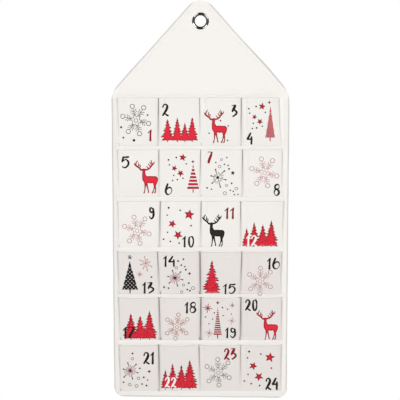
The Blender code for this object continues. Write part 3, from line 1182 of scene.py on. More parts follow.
    def build_front(self) -> Piece:
        """Makes the panel's canvas, with its plump edge, channel and waves, and marks painted shade along its rim, its
        side margins and its lower hem.

        Returns:
            The piece.
        """
        plan = self.plan
        bm = self._sheet_mesh(self.front_point, plan.panel_rim, plan.panel_front + plan.canvas)
        # Painted shade: darker along the rim, on the side margins beside the pockets and on the lower hem.
        worn = bm.verts.layers.float.new("worn")
        for vert in bm.verts:
            x, _, z = vert.co
            margin = smooth_share((abs(x) - self.margin_x) / 0.002)
            margin *= smooth_share((plan.first_mouth + 0.004 - z) / 0.01)
            margin *= self.left_margin_wear if x < 0 else self.right_margin_wear
            hem = self.hem_wear * smooth_share((plan.bottom_z + 0.017 - z) / 0.004)
            vert[worn] = min(1.0, bell(plan.edge_distance(x, z), 0.0022) + margin + hem)
        return place_piece("panel_cloth", bm, self.wardrobe.panel, ("front_panel",), 50.0)

    def build_lining(self) -> Piece:
        """Makes the lining, with its border turned in against the panel's."""
        bm = self._sheet_mesh(self.back_point, self.plan.lining_rim, self.plan.lining_back - self.plan.canvas)
        return place_piece("lining_cloth", bm, self.wardrobe.lining, ("back_lining",), 50.0)

    def build_core(self, node: str, name: str) -> Piece:
        """Makes one hidden stiffening sheet of felt, in the space of its solid.

        Args:
            node: The CAD node that it replaces.
            name: The piece's name.

        Returns:
            The piece.
        """
        bm = bmesh.new()
        bm.from_mesh(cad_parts[node].data)
        bmesh.ops.remove_doubles(bm, verts=bm.verts[:], dist=TOUCH)
        bmesh.ops.dissolve_limit(bm, angle_limit=math.radians(1.0), verts=bm.verts[:], edges=bm.edges[:])
        for vert in bm.verts:
            vert.co.x -= math.copysign(self.plan.narrowing(vert.co.z), vert.co.x)
        rim = []
        for edge in bm.edges:
            start, end = (vert.co for vert in edge.verts)
            if abs(start.y - end.y) < TOUCH and edge.is_manifold and edge.calc_face_angle(0.0) > 1.0:
                rim.append(edge)
        bmesh.ops.bevel(
            bm, geom=rim, offset=self.felt_rounding, offset_type="OFFSET", affect="EDGES", segments=2, profile=0.5,
            material=-1,
        )
        return place_piece(name, bm, self.wardrobe.felt, (node,), 40.0)

    def cut_size(self) -> tuple[Point, float]:
        """Returns the width and length to which the panel and its lining are cut, and their area.

        Returns:
            The width and length, and the area.
        """
        plan = self.plan
        finished = (2 * plan.half_width, plan.apex_z - plan.bottom_z)
        width, length = (side + 2 * self.cut_allowance for side in finished)
        return (width, length), width * length * plan.flat_area() / (finished[0] * finished[1])


# Pocket rows

@dataclass
class PocketRow:
    """One strip of canvas, pleated and stitched into four pockets."""

    plan: CalendarPlan
    row: RowPlan
    wardrobe: Wardrobe
    depth: float = 0.0105
    crown: float = 0.0025
    belly: float = 0.75
    shoulder: float = 0.0027
    least_shoulder: float = 0.0012
    lean: float = -0.0013
    fillet: float = 0.0006
    cloth: float = 0.0007
    hem: float = 0.0105
    stitch_inset: float = 0.0015
    land_points: int = 5
    front_steps: int = 38
    wrinkle: float = 0.0004
    mouth_wave: float = 0.0006
    loose_rows: int = 3
    dent_depth: float = 0.0042
    strip_width: float = 0.415
    pleats: int = 8
    pleat_share: float = 0.62
    fold_turns: tuple[float, ...] = (30.0, 60.0, 90.0, 120.0, 150.0)
    fillet_turns: tuple[float, ...] = (30.0, 60.0, 90.0)
    wall_shares: Point = (0.4, 0.8)
    shoulder_turns: tuple[float, ...] = (0.0, 18.0, 36.0, 54.0, 72.0, 90.0)
    dents: tuple[Point, ...] = ((0.35, 0.020), (1.0, 0.024), (1.0, 0.040), (1.25, 0.085))
    dent_rows: tuple[float, ...] = (1.0, 0.65, 0.5, 0.55, 0.6, 0.7)
    slants: tuple[Triple, ...] = (
        (0.0010, -0.0004, 0.0008), (0.0006, 0.0004, -0.0009), (0.0010, -0.0007, 0.0007),
        (0.0006, 0.0017, 0.0010), (-0.0012, 0.0018, 0.0015), (0.0012, -0.0008, -0.0004),
    )
    # Weight of the painted shade at each of the three inner seams of each row.
    dusty: tuple[Triple, ...] = (
        (0.38, 0.0, 0.38), (0.13, 0.12, 0.30), (0.44, 0.24, 0.24),
        (0.20, 1.0, 0.34), (0.56, 1.0, 0.80), (0.60, 0.14, 0.0),
    )
    levels: list[Point] = field(default_factory=list)
    surface: np.ndarray | None = None

    def __post_init__(self) -> None:
        """Lists the cloth's heights, each with its turn in degrees: hidden hem, mouth, front, foot, turned edge."""
        if self.row.number > self.loose_rows:
            self.wrinkle *= 1.5
            self.mouth_wave *= 2.0
        mouth, foot, fold, hem_line = self.row.mouth, self.row.foot, self.plan.canvas / 2, self.hem_line()
        low, foot_line = foot + self.plan.foot_hem, self.foot_line()
        bends = [(turn, fold * math.sin(math.radians(turn))) for turn in self.fold_turns]
        front = list(np.linspace(mouth - 0.0014, hem_line + 0.0014, 5))
        front += [hem_line + step for step in (0.0008, 0.0004, 0.0, -0.0004, -0.0008, -0.0014)]
        count = round((hem_line - 0.0014 - low) / 0.0026)
        front += list(np.linspace(hem_line - 0.0014, low, count + 1))[1:]
        front += [low - 0.0008, *(foot_line + step for step in (0.0010, 0.0004, 0.0, -0.0004, -0.0010)), foot + fold]
        self.levels = [(z, 180.0) for z in np.linspace(mouth - self.hem + 0.0004, mouth - fold - 0.0003, 5)]
        self.levels += [(mouth - fold + reach, turn) for turn, reach in reversed(bends)]
        self.levels += [(z, 0.0) for z in front]
        self.levels += [(foot + fold - reach, -turn) for turn, reach in bends]
        self.levels += [(z, -180.0) for z in (foot + fold + 0.0002, foot + 0.0026, foot + 0.0052)]

    def hem_line(self) -> float:
        """Returns the height of the mouth hem's stitching."""
        return self.row.mouth - self.hem + self.stitch_inset

    def foot_line(self) -> float:
        """Returns the height of the lower edge's stitching."""
        return self.row.foot + self.plan.foot_hem / 2

    def cut_size(self) -> Point:
        """Returns the width and height to which the strip is cut, with what its pleats and turned edges take up."""
        width = self.strip_width + self.pleats * self.depth * self.pleat_share
        return width, self.row.mouth - self.row.foot + self.hem + self.plan.foot_hem

    def doubled(self, z: float) -> float:
        """Returns 1 where the strip's cloth lies double, 0 where it is single, with a soft step.

        Args:
            z: Height.

        Returns:
            The share.
        """
        at_mouth = smooth_share((z - (self.row.mouth - self.hem - 0.0008)) / 0.0012)
        at_foot = smooth_share((self.row.foot + self.plan.foot_hem + 0.0008 - z) / 0.0012)
        return max(at_mouth, at_foot)

    def slant(self, index: int, place: float) -> float:
        """Returns how far a pocket's front is pushed sideways by the slant of the grooves beside it."""
        leans = (0.0, *self.slants[self.row.number - 1], 0.0)
        return leans[max(0, index)] * (1 - place) + leans[min(index + 1, 4)] * place

    def _rising(self, full: float, lean: float) -> tuple[list[Point], float]:
        """Lists a pocket's side from its groove up to its front.

        Args:
            full: The front's depth.
            lean: How far the side leans over.

        Returns:
            Its points, as the distance from the groove's edge and the depth, and the reach of its shoulder.
        """
        rounding = min(self.fillet, full / 3)
        shoulder = min(self.shoulder, full * 0.55)
        reach = max(shoulder, self.least_shoulder)
        wall = full - shoulder
        rising = []
        for turn in map(math.radians, self.fillet_turns):
            rising.append((-self.fillet * (1 - math.sin(turn)), rounding * (1 - math.cos(turn))))
        rising += [(lean * share, rounding + (wall - rounding) * share) for share in self.wall_shares]
        for turn in map(math.radians, self.shoulder_turns):
            rising.append((lean + reach * (1 - math.cos(turn)), wall + shoulder * math.sin(turn)))
        return rising, reach

    def section(self, z: float) -> list[tuple[float, float, float, int, float]]:
        """Returns the strip's outer face at one height.

        Args:
            z: The height.

        Returns:
            Points along the strip: place across, depth, share of the full depth, pocket number and share of its width.
        """
        plan, row = self.plan, self.row
        stand = plan.canvas * self.doubled(z)
        land = plan.panel_front - plan.fit_gap - plan.canvas - stand
        rise = row.rise(z)
        full = max(0.0, self.depth * rise ** self.belly - stand)
        half = row.half_groove(z)
        lean = self.lean * rise
        rising, reach = self._rising(full, lean)
        points = []
        last = len(row.seams_mouth) - 1
        for index in range(last + 1):
            here = row.seam(index, z)
            start = -half if index == 0 else -half + self.fillet
            end = half if index == last else half - self.fillet
            for step in range(self.land_points):
                across = here + start + (end - start) * step / (self.land_points - 1)
                points.append((across, 0.0, 0.0, index - 1, 1.0 if step < self.land_points // 2 else 0.0))
            if index == last:
                break
            left, right = here + half, row.seam(index + 1, z) - half
            width = right - left
            sides = [(offset, depth, depth / full if full > 0 else 0.0) for offset, depth in rising]
            for offset, depth, share in sides:
                points.append((left + offset, depth, share, index, max(0.0, offset / width)))
            for step in range(1, self.front_steps):
                place = step / self.front_steps
                bulge = rise * (1 - (2 * place - 1) ** 2)
                across = left + lean + reach + (width - 2 * (lean + reach)) * place
                points.append((across, full + self.crown * bulge, 1.0, index, (across - left) / width))
            for offset, depth, share in reversed(sides):
                points.append((right - offset, depth, share, index, 1.0 - max(0.0, offset / width)))
        pushed = []
        for x, depth, share, pocket, place in points:
            aside = self.slant(pocket, place) * share ** 1.5 * rise if share > 0 else 0.0
            pushed.append((x + aside, land - depth, share, pocket, place))
        return pushed

    def dust(self, share: float, pocket: int, place: float) -> float:
        """Returns how much painted shade darkens a point of the strip: most in the grooves between two pockets.

        Args:
            share: Its share of the pocket's full depth.
            pocket: The pocket's number in its row.
            place: Share of the pocket's width.

        Returns:
            0 for no painted shade to 1.
        """
        seams = (0.0, *self.dusty[self.row.number - 1], 0.0)
        right = share <= 0.0 or place > 0.5
        aside = min(place, 1.0 - place) * self.plan.pitch
        return seams[pocket + 1 if right else pocket] * max((1.0 - share) ** 0.5, 0.22 * bell(aside, 0.0045))

    def relief(self, x: float, z: float, pocket: int, place: float) -> float:
        """Returns how far handling has pushed a pocket's front out or in.

        Args:
            x: Place across the panel.
            z: Height.
            pocket: The pocket's number in its row.
            place: Share of the pocket's width.

        Returns:
            The stand-out in metres.
        """
        seed = self.row.number * 7.3 + pocket * 2.9
        rise, low = self.row.rise(z), self.row.mouth - z
        slow = slow_grain(x * 16.0, seed, z * 11.0, 3)
        drag = grain((x + z * 0.7) * 42.0, seed + 5.0, (z - x * 0.7) * 10.0)
        force, length = self.dents[pocket]
        force *= self.dent_rows[self.row.number - 1] / (1 + (low / length) ** 4)
        relief = smooth_share(rise * 1.6) * self.wrinkle * (slow + 0.5 * drag)
        relief -= self.dent_depth * force * bell(place - 0.075, 0.06)
        relief -= 0.0012 * bell(place - 0.95, 0.05) * bell(low, 0.012)
        relief -= 0.0006 * (bell(place, 0.04) + bell(1 - place, 0.04)) * rise
        relief += 0.0009 * bell(low, 0.006) * grain(x * 26.0, seed, 2.0)
        return relief - 0.0006 * bell(z - self.hem_line(), 0.0010)

    def mouth_shift(self, x: float, z: float, pocket: int, place: float) -> float:
        """Returns how far the cloth near the mouth sits above or below its plan.

        Args:
            x: Place across the panel.
            z: Height.
            pocket: The pocket's number in its row.
            place: Share of the pocket's width.

        Returns:
            The change of height in metres.
        """
        bulge = 1 - (2 * place - 1) ** 2
        near = math.exp(-max(0.0, self.row.mouth - z) / 0.03)
        wave = self.mouth_wave * grain(x * 30.0, self.row.number * 3.7 + pocket, 0.0) * min(1.0, bulge * 3)
        return -self.row.sag * bulge * self.row.rise(z) + near * (wave - 0.0009 * bell(place - 0.105, 0.05))

    def build(self) -> Piece:
        """Makes the strip: a fine grid laid over the pleated form, its mouth and foot folded in.

        Returns:
            The piece.
        """
        sections = [self.section(z) for z, _ in self.levels]
        count = len(sections[0])
        middle = np.zeros((len(self.levels), count, 3))
        across = np.zeros_like(middle)
        for level, ((z, turn), points) in enumerate(zip(self.levels, sections)):
            tangent = unit_rows(np.gradient(np.array([point[:2] for point in points]), axis=0))
            lean, lift = math.cos(math.radians(turn)), math.sin(math.radians(turn))
            inset = self.cloth / 2 + self.plan.canvas * (1 - lean) / 2
            for column, (x, y, share, pocket, place) in enumerate(points):
                out_x, out_y = tangent[column, 1], -tangent[column, 0]
                push = share * self.relief(x, z, pocket, place) if share > 0 else 0.0
                shift = share * self.mouth_shift(x, z, pocket, place) if share > 0 else 0.0
                middle[level, column] = (x - out_x * inset, y - out_y * inset - push, z + shift)
                across[level, column] = (out_x * lean, out_y * lean, lift)
        self.surface = middle
        bm = bmesh.new()
        bmesh.ops.create_grid(bm, x_segments=count - 1, y_segments=len(middle) - 1, size=1.0)
        outer = (middle + across * (self.cloth / 2)).reshape(-1, 3)
        inner = (middle - across * (self.cloth / 2)).reshape(-1, 3)
        place_of = bm.verts.layers.int.new("place")
        worn = bm.verts.layers.float.new("worn")
        for index, vert in enumerate(bm.verts):
            level, column = divmod(index, count)
            vert.co = outer[index]
            vert[place_of] = index
            # Painted shade, darkest in the grooves between pockets.
            vert[worn] = self.dust(*sections[level][column][2:])
        for vert in back_it(bm):
            vert.co = inner[vert[place_of]]
        bm.verts.layers.int.remove(place_of)
        face_out(bm)
        number = self.row.number
        material = self.wardrobe.pockets[number - 1]
        return place_piece(f"pocket_cloth_{number}", bm, material, (f"pocket_strip_{number}",), 60.0)

    def line(self, z: float) -> int:
        """Returns the index of the front level nearest to a height."""
        return min((abs(height - z), index) for index, (height, turn) in enumerate(self.levels) if turn == 0.0)[1]

    def grooves(self) -> list[int]:
        """Returns the column in the middle of each groove.

        Returns:
            The columns' indices.
        """
        side = len(self.fillet_turns) + len(self.wall_shares) + len(self.shoulder_turns)
        count = self.land_points + 2 * side + self.front_steps - 1
        return [index * count + self.land_points // 2 for index in range(len(self.row.seams_mouth))]


def unit_rows(rows: np.ndarray) -> np.ndarray:
    """Returns the rows of an array, each at a length of 1."""
    return rows / np.maximum(np.linalg.norm(rows, axis=1), 1e-9)[:, None]


# Stitches

@dataclass
class Stitching:
    """Lockstitch seams, one small rounded piece of thread for each stitch."""

    wardrobe: Wardrobe
    pitch: float = 0.0034
    length: float = 0.0028
    radius: float = 0.00026
    flatness: float = 0.8
    stand: float = 0.35
    clearance: float = 0.0001
    channel_inset: float = 0.0015
    channel_points: int = 140
    batch: int = 24

    def _stitches(self, path: Sequence[tuple[Vector, Vector]]) -> list[Matrix]:
        """Places stitches evenly along a path.

        Args:
            path: Its points, each with the cloth's outward direction there.

        Returns:
            Each stitch's place, turn and size.
        """
        steps = [(after - here).length for (here, _), (after, _) in pairwise(path)]
        total = sum(steps)
        count = max(1, int(total / self.pitch))
        gap = total / count
        size = Matrix.Diagonal((self.radius, self.radius * self.flatness, self.length / 2, 1.0))
        index, passed = 0, 0.0
        places = []
        for number in range(count):
            target = gap * (number + 0.5)
            while index < len(steps) - 1 and passed + steps[index] < target:
                passed += steps[index]
                index += 1
            (here, out_here), (after, out_after) = path[index], path[index + 1]
            share = (target - passed) / max(steps[index], 1e-9)
            along = (after - here).normalized()
            side = along.cross(out_here.lerp(out_after, share).normalized()).normalized()
            out = side.cross(along).normalized()
            turn = Matrix((side, out, along)).transposed().to_4x4()
            middle = here.lerp(after, share) + out * self.radius * self.stand
            places.append(Matrix.Translation(middle) @ turn @ size)
        return places

    def sew(self, name: str, nodes: Sequence[str], paths: Sequence[Sequence[tuple[Vector, Vector]]]) -> Piece:
        """Sews paths as one piece that replaces its CAD threads.

        Args:
            name: The piece's name.
            nodes: The CAD threads.
            paths: Each path's points, with the cloth's outward direction at each of them.

        Returns:
            The piece.
        """
        bm = bmesh.new()
        for path in paths:
            places = self._stitches(path)
            for start in range(0, len(places), self.batch):
                part = bmesh.new()
                for place in places[start:start + self.batch]:
                    bmesh.ops.create_uvsphere(part, u_segments=6, v_segments=5, radius=1.0, matrix=place)
                mesh = to_mesh(part, "stitch_batch")
                bm.from_mesh(mesh)
                bpy.data.meshes.remove(mesh)
        face_out(bm)
        return place_piece(name, bm, self.wardrobe.thread, nodes)

    def around(self, panel: HangingPanel) -> list[Piece]:
        """Sews the border, front and back, and the channel's two lines.

        Args:
            panel: The panel that they hold.

        Returns:
            The pieces.
        """
        ring = panel.plan.ring(panel.plan.edge_hem)
        made = []
        for name, node, surface, out in (
            ("border_stitches", "edge_topstitch", panel.front_point, ROOMWARD),
            ("border_back_stitches", "edge_bobbin_stitch", panel.back_point, WALLWARD),
        ):
            path = [(surface(*point, self.clearance), out) for point in ring + ring[:1]]
            made.append(self.sew(name, (node,), (path,)))
        for part, z in (("upper", panel.plan.channel_top), ("lower", panel.plan.channel_foot)):
            nearest = min((point for point in ring if point.x > 0), key=lambda point: abs(point.y - z))
            reach = nearest.x - self.channel_inset
            places = np.linspace(-reach, reach, self.channel_points)
            path = [(panel.front_point(float(x), z, self.clearance), ROOMWARD) for x in places]
            made.append(self.sew(f"channel_{part}_stitches", (f"channel_stitch_{part}",), (path,)))
        return made

    def on_row(self, strip: PocketRow) -> list[Piece]:
        """Sews a strip: its mouth hem, its foot and its five upright seams.

        Args:
            strip: The built strip.

        Returns:
            The pieces.
        """
        number, grid, half = strip.row.number, strip.surface, strip.cloth / 2
        made = []
        for part, node, z in (("mouth", "hem", strip.hem_line()), ("foot", "foot", strip.foot_line())):
            line = grid[strip.line(z)]
            tangent = np.gradient(line, axis=0)
            outward = unit_rows(np.stack((tangent[:, 1], -tangent[:, 0], np.zeros(len(line))), axis=1))
            path = [(Vector(point), Vector(out)) for point, out in zip(line + outward * half, outward)]
            made.append(self.sew(f"{part}_stitches_{number}", (f"pocket_{node}_thread_{number}",), (path,)))
        start, end = strip.line(strip.row.mouth - 0.0012), strip.line(strip.foot_line())
        paths = []
        for column in strip.grooves():
            paths.append([(Vector(point) + ROOMWARD * half, ROOMWARD) for point in grid[start:end, column]])
        nodes = [f"divider_thread_{number}_{index}" for index in range(1, len(paths) + 1)]
        made.append(self.sew(f"divider_stitches_{number}", nodes, paths))
        return made


# Eyelet

@dataclass
class Eyelet:
    """The clamped metal eyelet with its washer."""

    plan: CalendarPlan
    wardrobe: Wardrobe
    bore: float = 0.014
    wall: float = 0.0007
    flange: float = 0.0063
    rise: float = 0.0024
    curl: float = 0.0022
    sheet: float = 0.0007
    washer_width: float = 0.0052
    dome_steps: int = 18
    steps: int = 96

    def _turn(self, profile: Sequence[Point], name: str, node: str, material: Material) -> Piece:
        """Spins a closed profile round the bore's axis.

        Args:
            profile: Radius and depth pairs.
            name: The piece's name.
            node: The CAD node that it replaces.
            material: Its material.

        Returns:
            The piece.
        """
        bm = bmesh.new()
        verts = [bm.verts.new((radius, y, 0.0)) for radius, y in profile]
        edges = [bm.edges.new((verts[index - 1], vert)) for index, vert in enumerate(verts)]
        bmesh.ops.spin(
            bm, geom=verts + edges, cent=(0, 0, 0), axis=(0, 1, 0), angle=math.tau, steps=self.steps, use_merge=True,
        )
        bmesh.ops.remove_doubles(bm, verts=bm.verts[:], dist=TOUCH)
        face_out(bm)
        return place_piece(name, bm, material, (node,), 50.0)

    def build(self) -> None:
        """Makes the eyelet's domed flange, barrel and curl, and the washer behind."""
        bore, curl_front = self.bore, -self.sheet
        seat = self.plan.panel_front - self.plan.fit_gap
        barrel = bore + self.wall
        half = (barrel + self.flange - bore) / 2
        end = barrel + self.curl
        profile = []
        for step in range(self.dome_steps + 1):
            sine, cosine = (turn(math.pi * step / self.dome_steps) for turn in (math.sin, math.cos))
            sine = max(sine, 0.0)
            profile.append((bore + half + half * cosine * (1.0 - 0.02 * sine), seat - self.rise * sine ** 0.8))
        profile += [
            (bore, seat + 0.001), (bore, -0.0012), (bore + 0.0001, -0.0006), (bore + 0.0004, -0.0001),
            (barrel + self.curl * 0.1, 0.0), (barrel + self.curl * 0.5, 0.0), (end - 0.0003, -0.00004),
            (end, -0.0003), (end, curl_front), (barrel + 0.0002, curl_front), (barrel, curl_front - 0.0002),
            (barrel, seat),
        ]
        self._turn(profile, "eyelet_ring", "hanging_eyelet", self.wardrobe.metal)
        inner, rim = barrel + self.plan.fit_gap, barrel + self.washer_width
        back = curl_front - self.plan.fit_gap
        front = back - self.sheet
        soft = self.sheet * 0.3
        profile = [
            (inner, front + soft), (inner, back - soft), (inner + soft, back), (inner + 0.0018, back + 0.0001),
            (rim - 0.0010, back), (rim - soft, back - soft * 0.4), (rim, back - soft), (rim, front + soft),
            (rim - soft, front), (inner + soft, front),
        ]
        self._turn(profile, "eyelet_back_washer", "eyelet_washer", self.wardrobe.washer)


# Prints

@dataclass
class Drawing:
    """Flat shapes in millimetres of a pocket: filled outlines and the holes in them."""

    fills: list[list[Point]] = field(default_factory=list)
    holes: list[list[Point]] = field(default_factory=list)

    def disc(self, centre: Point, radius: float, steps: int = 14, hole: bool = False) -> None:
        """Adds a round spot or a round hole.

        Args:
            centre: Its middle.
            radius: Its radius.
            steps: Sides of its outline.
            hole: True for a hole.
        """
        turns = [math.tau * step / steps for step in range(steps)]
        ring = [(centre[0] + radius * math.cos(turn), centre[1] + radius * math.sin(turn)) for turn in turns]
        (self.holes if hole else self.fills).append(ring)

    def ring(self, centre: Point, radius: float, line: float, steps: int = 20) -> None:
        """Adds a ring drawn with a line of one width."""
        self.disc(centre, radius, steps)
        self.disc(centre, radius - line, steps, hole=True)

    def stroke(self, points: Sequence[Triple], steps: int = 10) -> None:
        """Adds a brush stroke whose width changes along it.

        Args:
            points: Places along it, each with the stroke's half width.
            steps: Sides of its round ends.
        """
        for (x0, z0, r0), (x1, z1, r1) in pairwise(points):
            length = math.hypot(x1 - x0, z1 - z0)
            if length >= TOUCH:
                across, up = (z0 - z1) / length, (x1 - x0) / length
                self.fills.append([
                    (x0 - across * r0, z0 - up * r0), (x1 - across * r1, z1 - up * r1),
                    (x1 + across * r1, z1 + up * r1), (x0 + across * r0, z0 + up * r0),
                ])
        for x, z, radius in points:
            self.disc((x, z), radius, steps)

    def brush(self, points: Sequence[Triple]) -> None:
        """Adds a stroke that runs smoothly through its points, given with half widths."""
        self.stroke(smooth_line(points))

    def outline(self, points: Sequence[Point]) -> None:
        """Adds one closed outline, turned anticlockwise."""
        total = sum(a[0] * b[1] - b[0] * a[1] for a, b in zip(points, [*points[1:], points[0]]))
        self.fills.append(list(points) if total > 0 else list(reversed(points)))


def smooth_line(points: Sequence[Triple], steps: int = 4, least: float = 0.05) -> list[Triple]:
    """Runs a smooth line through points.

    Args:
        points: Places with half widths.
        steps: Steps between two points.
        least: The smallest half width.

    Returns:
        The denser line.
    """
    values = [np.array(point, float) for point in points]
    padded = [2 * values[0] - values[1], *values, 2 * values[-1] - values[-2]]
    result = []
    for before, here, after, beyond in zip(padded, padded[1:], padded[2:], padded[3:]):
        for t in (step / steps for step in range(steps)):
            x, z, half = 0.5 * (
                2 * here + (after - before) * t + (2 * before - 5 * here + 4 * after - beyond) * t * t
                + (3 * here - before - 3 * after + beyond) * t ** 3
            )
            result.append((float(x), float(z), max(least, float(half))))
    return [*result, tuple(map(float, values[-1]))]


def polar(centre: Point, degrees: float, reach: float) -> Point:
    """Returns the point at a bearing, clockwise from above, and a distance from a centre."""
    angle = math.radians(degrees)
    return centre[0] + reach * math.sin(angle), centre[1] + reach * math.cos(angle)


GLYPH_GAP = 0.10
GLYPH_WEIGHT = 1.22
GLYPHS: dict[str, tuple[tuple[Triple, ...], ...]] = {
    "0": ((
        (0.16, 0.88, 0.055), (0.13, 0.62, 0.072), (0.14, 0.38, 0.078), (0.17, 0.20, 0.072), (0.25, 0.05, 0.056),
        (0.33, 0.02, 0.050), (0.43, 0.13, 0.062), (0.49, 0.35, 0.055), (0.51, 0.60, 0.050), (0.48, 0.80, 0.062),
        (0.40, 0.94, 0.066), (0.27, 0.95, 0.028), (0.17, 0.89, 0.045),
    ),),
    "1": ((
        (0.02, 0.70, 0.030), (0.10, 0.80, 0.038), (0.20, 0.91, 0.042),
    ), (
        (0.25, 0.97, 0.045), (0.22, 0.85, 0.062), (0.20, 0.60, 0.064), (0.195, 0.30, 0.068), (0.19, 0.05, 0.078),
    )),
    "2": ((
        (0.08, 0.72, 0.048), (0.16, 0.90, 0.045), (0.33, 0.95, 0.050), (0.46, 0.80, 0.072), (0.41, 0.56, 0.086),
        (0.24, 0.28, 0.074), (0.08, 0.06, 0.056),
    ), (
        (0.08, 0.06, 0.034), (0.24, 0.19, 0.042), (0.38, 0.10, 0.058), (0.52, 0.03, 0.058),
    )),
    "3": ((
        (0.04, 0.94, 0.026), (0.18, 0.96, 0.028), (0.36, 0.94, 0.070),
    ), (
        (0.38, 0.93, 0.080), (0.31, 0.79, 0.096), (0.21, 0.64, 0.094), (0.13, 0.52, 0.074), (0.10, 0.45, 0.055),
    ), (
        (0.22, 0.58, 0.055), (0.35, 0.55, 0.058), (0.50, 0.46, 0.066), (0.54, 0.35, 0.070), (0.48, 0.24, 0.070),
        (0.33, 0.13, 0.055), (0.17, 0.05, 0.055),
    )),
    "4": ((
        (0.37, 0.95, 0.055), (0.28, 0.80, 0.072), (0.17, 0.62, 0.074), (0.07, 0.49, 0.075),
    ), (
        (0.07, 0.46, 0.070), (0.25, 0.45, 0.055), (0.47, 0.48, 0.060),
    ), (
        (0.48, 0.63, 0.055), (0.48, 0.45, 0.072), (0.475, 0.25, 0.070), (0.475, 0.05, 0.066),
    )),
    "5": ((
        (0.52, 0.95, 0.068), (0.40, 0.93, 0.064), (0.27, 0.92, 0.052), (0.16, 0.93, 0.060),
    ), (
        (0.15, 0.92, 0.072), (0.11, 0.75, 0.068), (0.07, 0.60, 0.066), (0.06, 0.53, 0.045),
    ), (
        (0.09, 0.61, 0.055), (0.22, 0.69, 0.038), (0.31, 0.74, 0.042), (0.39, 0.71, 0.048), (0.49, 0.60, 0.066),
        (0.535, 0.45, 0.070), (0.49, 0.27, 0.064), (0.39, 0.13, 0.060), (0.28, 0.06, 0.050), (0.15, 0.07, 0.046),
        (0.07, 0.15, 0.030),
    )),
    "6": ((
        (0.22, 0.95, 0.062), (0.17, 0.80, 0.076), (0.12, 0.66, 0.070), (0.08, 0.50, 0.080), (0.055, 0.35, 0.078),
        (0.08, 0.20, 0.068), (0.16, 0.08, 0.060), (0.25, 0.04, 0.050),
    ), (
        (0.14, 0.50, 0.060), (0.24, 0.60, 0.050), (0.36, 0.65, 0.056), (0.46, 0.63, 0.050), (0.55, 0.51, 0.032),
        (0.56, 0.35, 0.026), (0.49, 0.20, 0.024), (0.37, 0.07, 0.024), (0.27, 0.03, 0.034),
    )),
    "7": ((
        (0.06, 0.97, 0.034), (0.27, 0.98, 0.022), (0.45, 0.95, 0.045),
    ), (
        (0.47, 0.94, 0.056), (0.40, 0.75, 0.074), (0.31, 0.55, 0.086), (0.20, 0.36, 0.090), (0.13, 0.18, 0.090),
        (0.11, 0.09, 0.080),
    )),
    "8": ((
        (0.34, 0.54, 0.050), (0.24, 0.55, 0.056), (0.145, 0.62, 0.062), (0.10, 0.78, 0.058), (0.18, 0.90, 0.058),
        (0.33, 0.96, 0.056), (0.46, 0.92, 0.034), (0.52, 0.80, 0.024), (0.50, 0.68, 0.028), (0.40, 0.60, 0.050),
        (0.30, 0.56, 0.046),
    ), (
        (0.25, 0.58, 0.050), (0.36, 0.52, 0.060), (0.47, 0.42, 0.072), (0.51, 0.28, 0.072), (0.43, 0.14, 0.064),
        (0.31, 0.06, 0.054), (0.17, 0.06, 0.028), (0.06, 0.18, 0.026), (0.05, 0.32, 0.040), (0.08, 0.44, 0.052),
        (0.17, 0.56, 0.052),
    )),
    "9": ((
        (0.38, 0.84, 0.040), (0.30, 0.91, 0.036), (0.21, 0.93, 0.052), (0.13, 0.85, 0.062), (0.11, 0.72, 0.062),
        (0.17, 0.60, 0.058), (0.27, 0.55, 0.060), (0.39, 0.61, 0.055),
    ), (
        (0.45, 0.86, 0.055), (0.48, 0.70, 0.066), (0.50, 0.50, 0.074), (0.485, 0.30, 0.074), (0.42, 0.14, 0.060),
        (0.28, 0.04, 0.058), (0.14, 0.10, 0.038), (0.05, 0.22, 0.032),
    )),
}

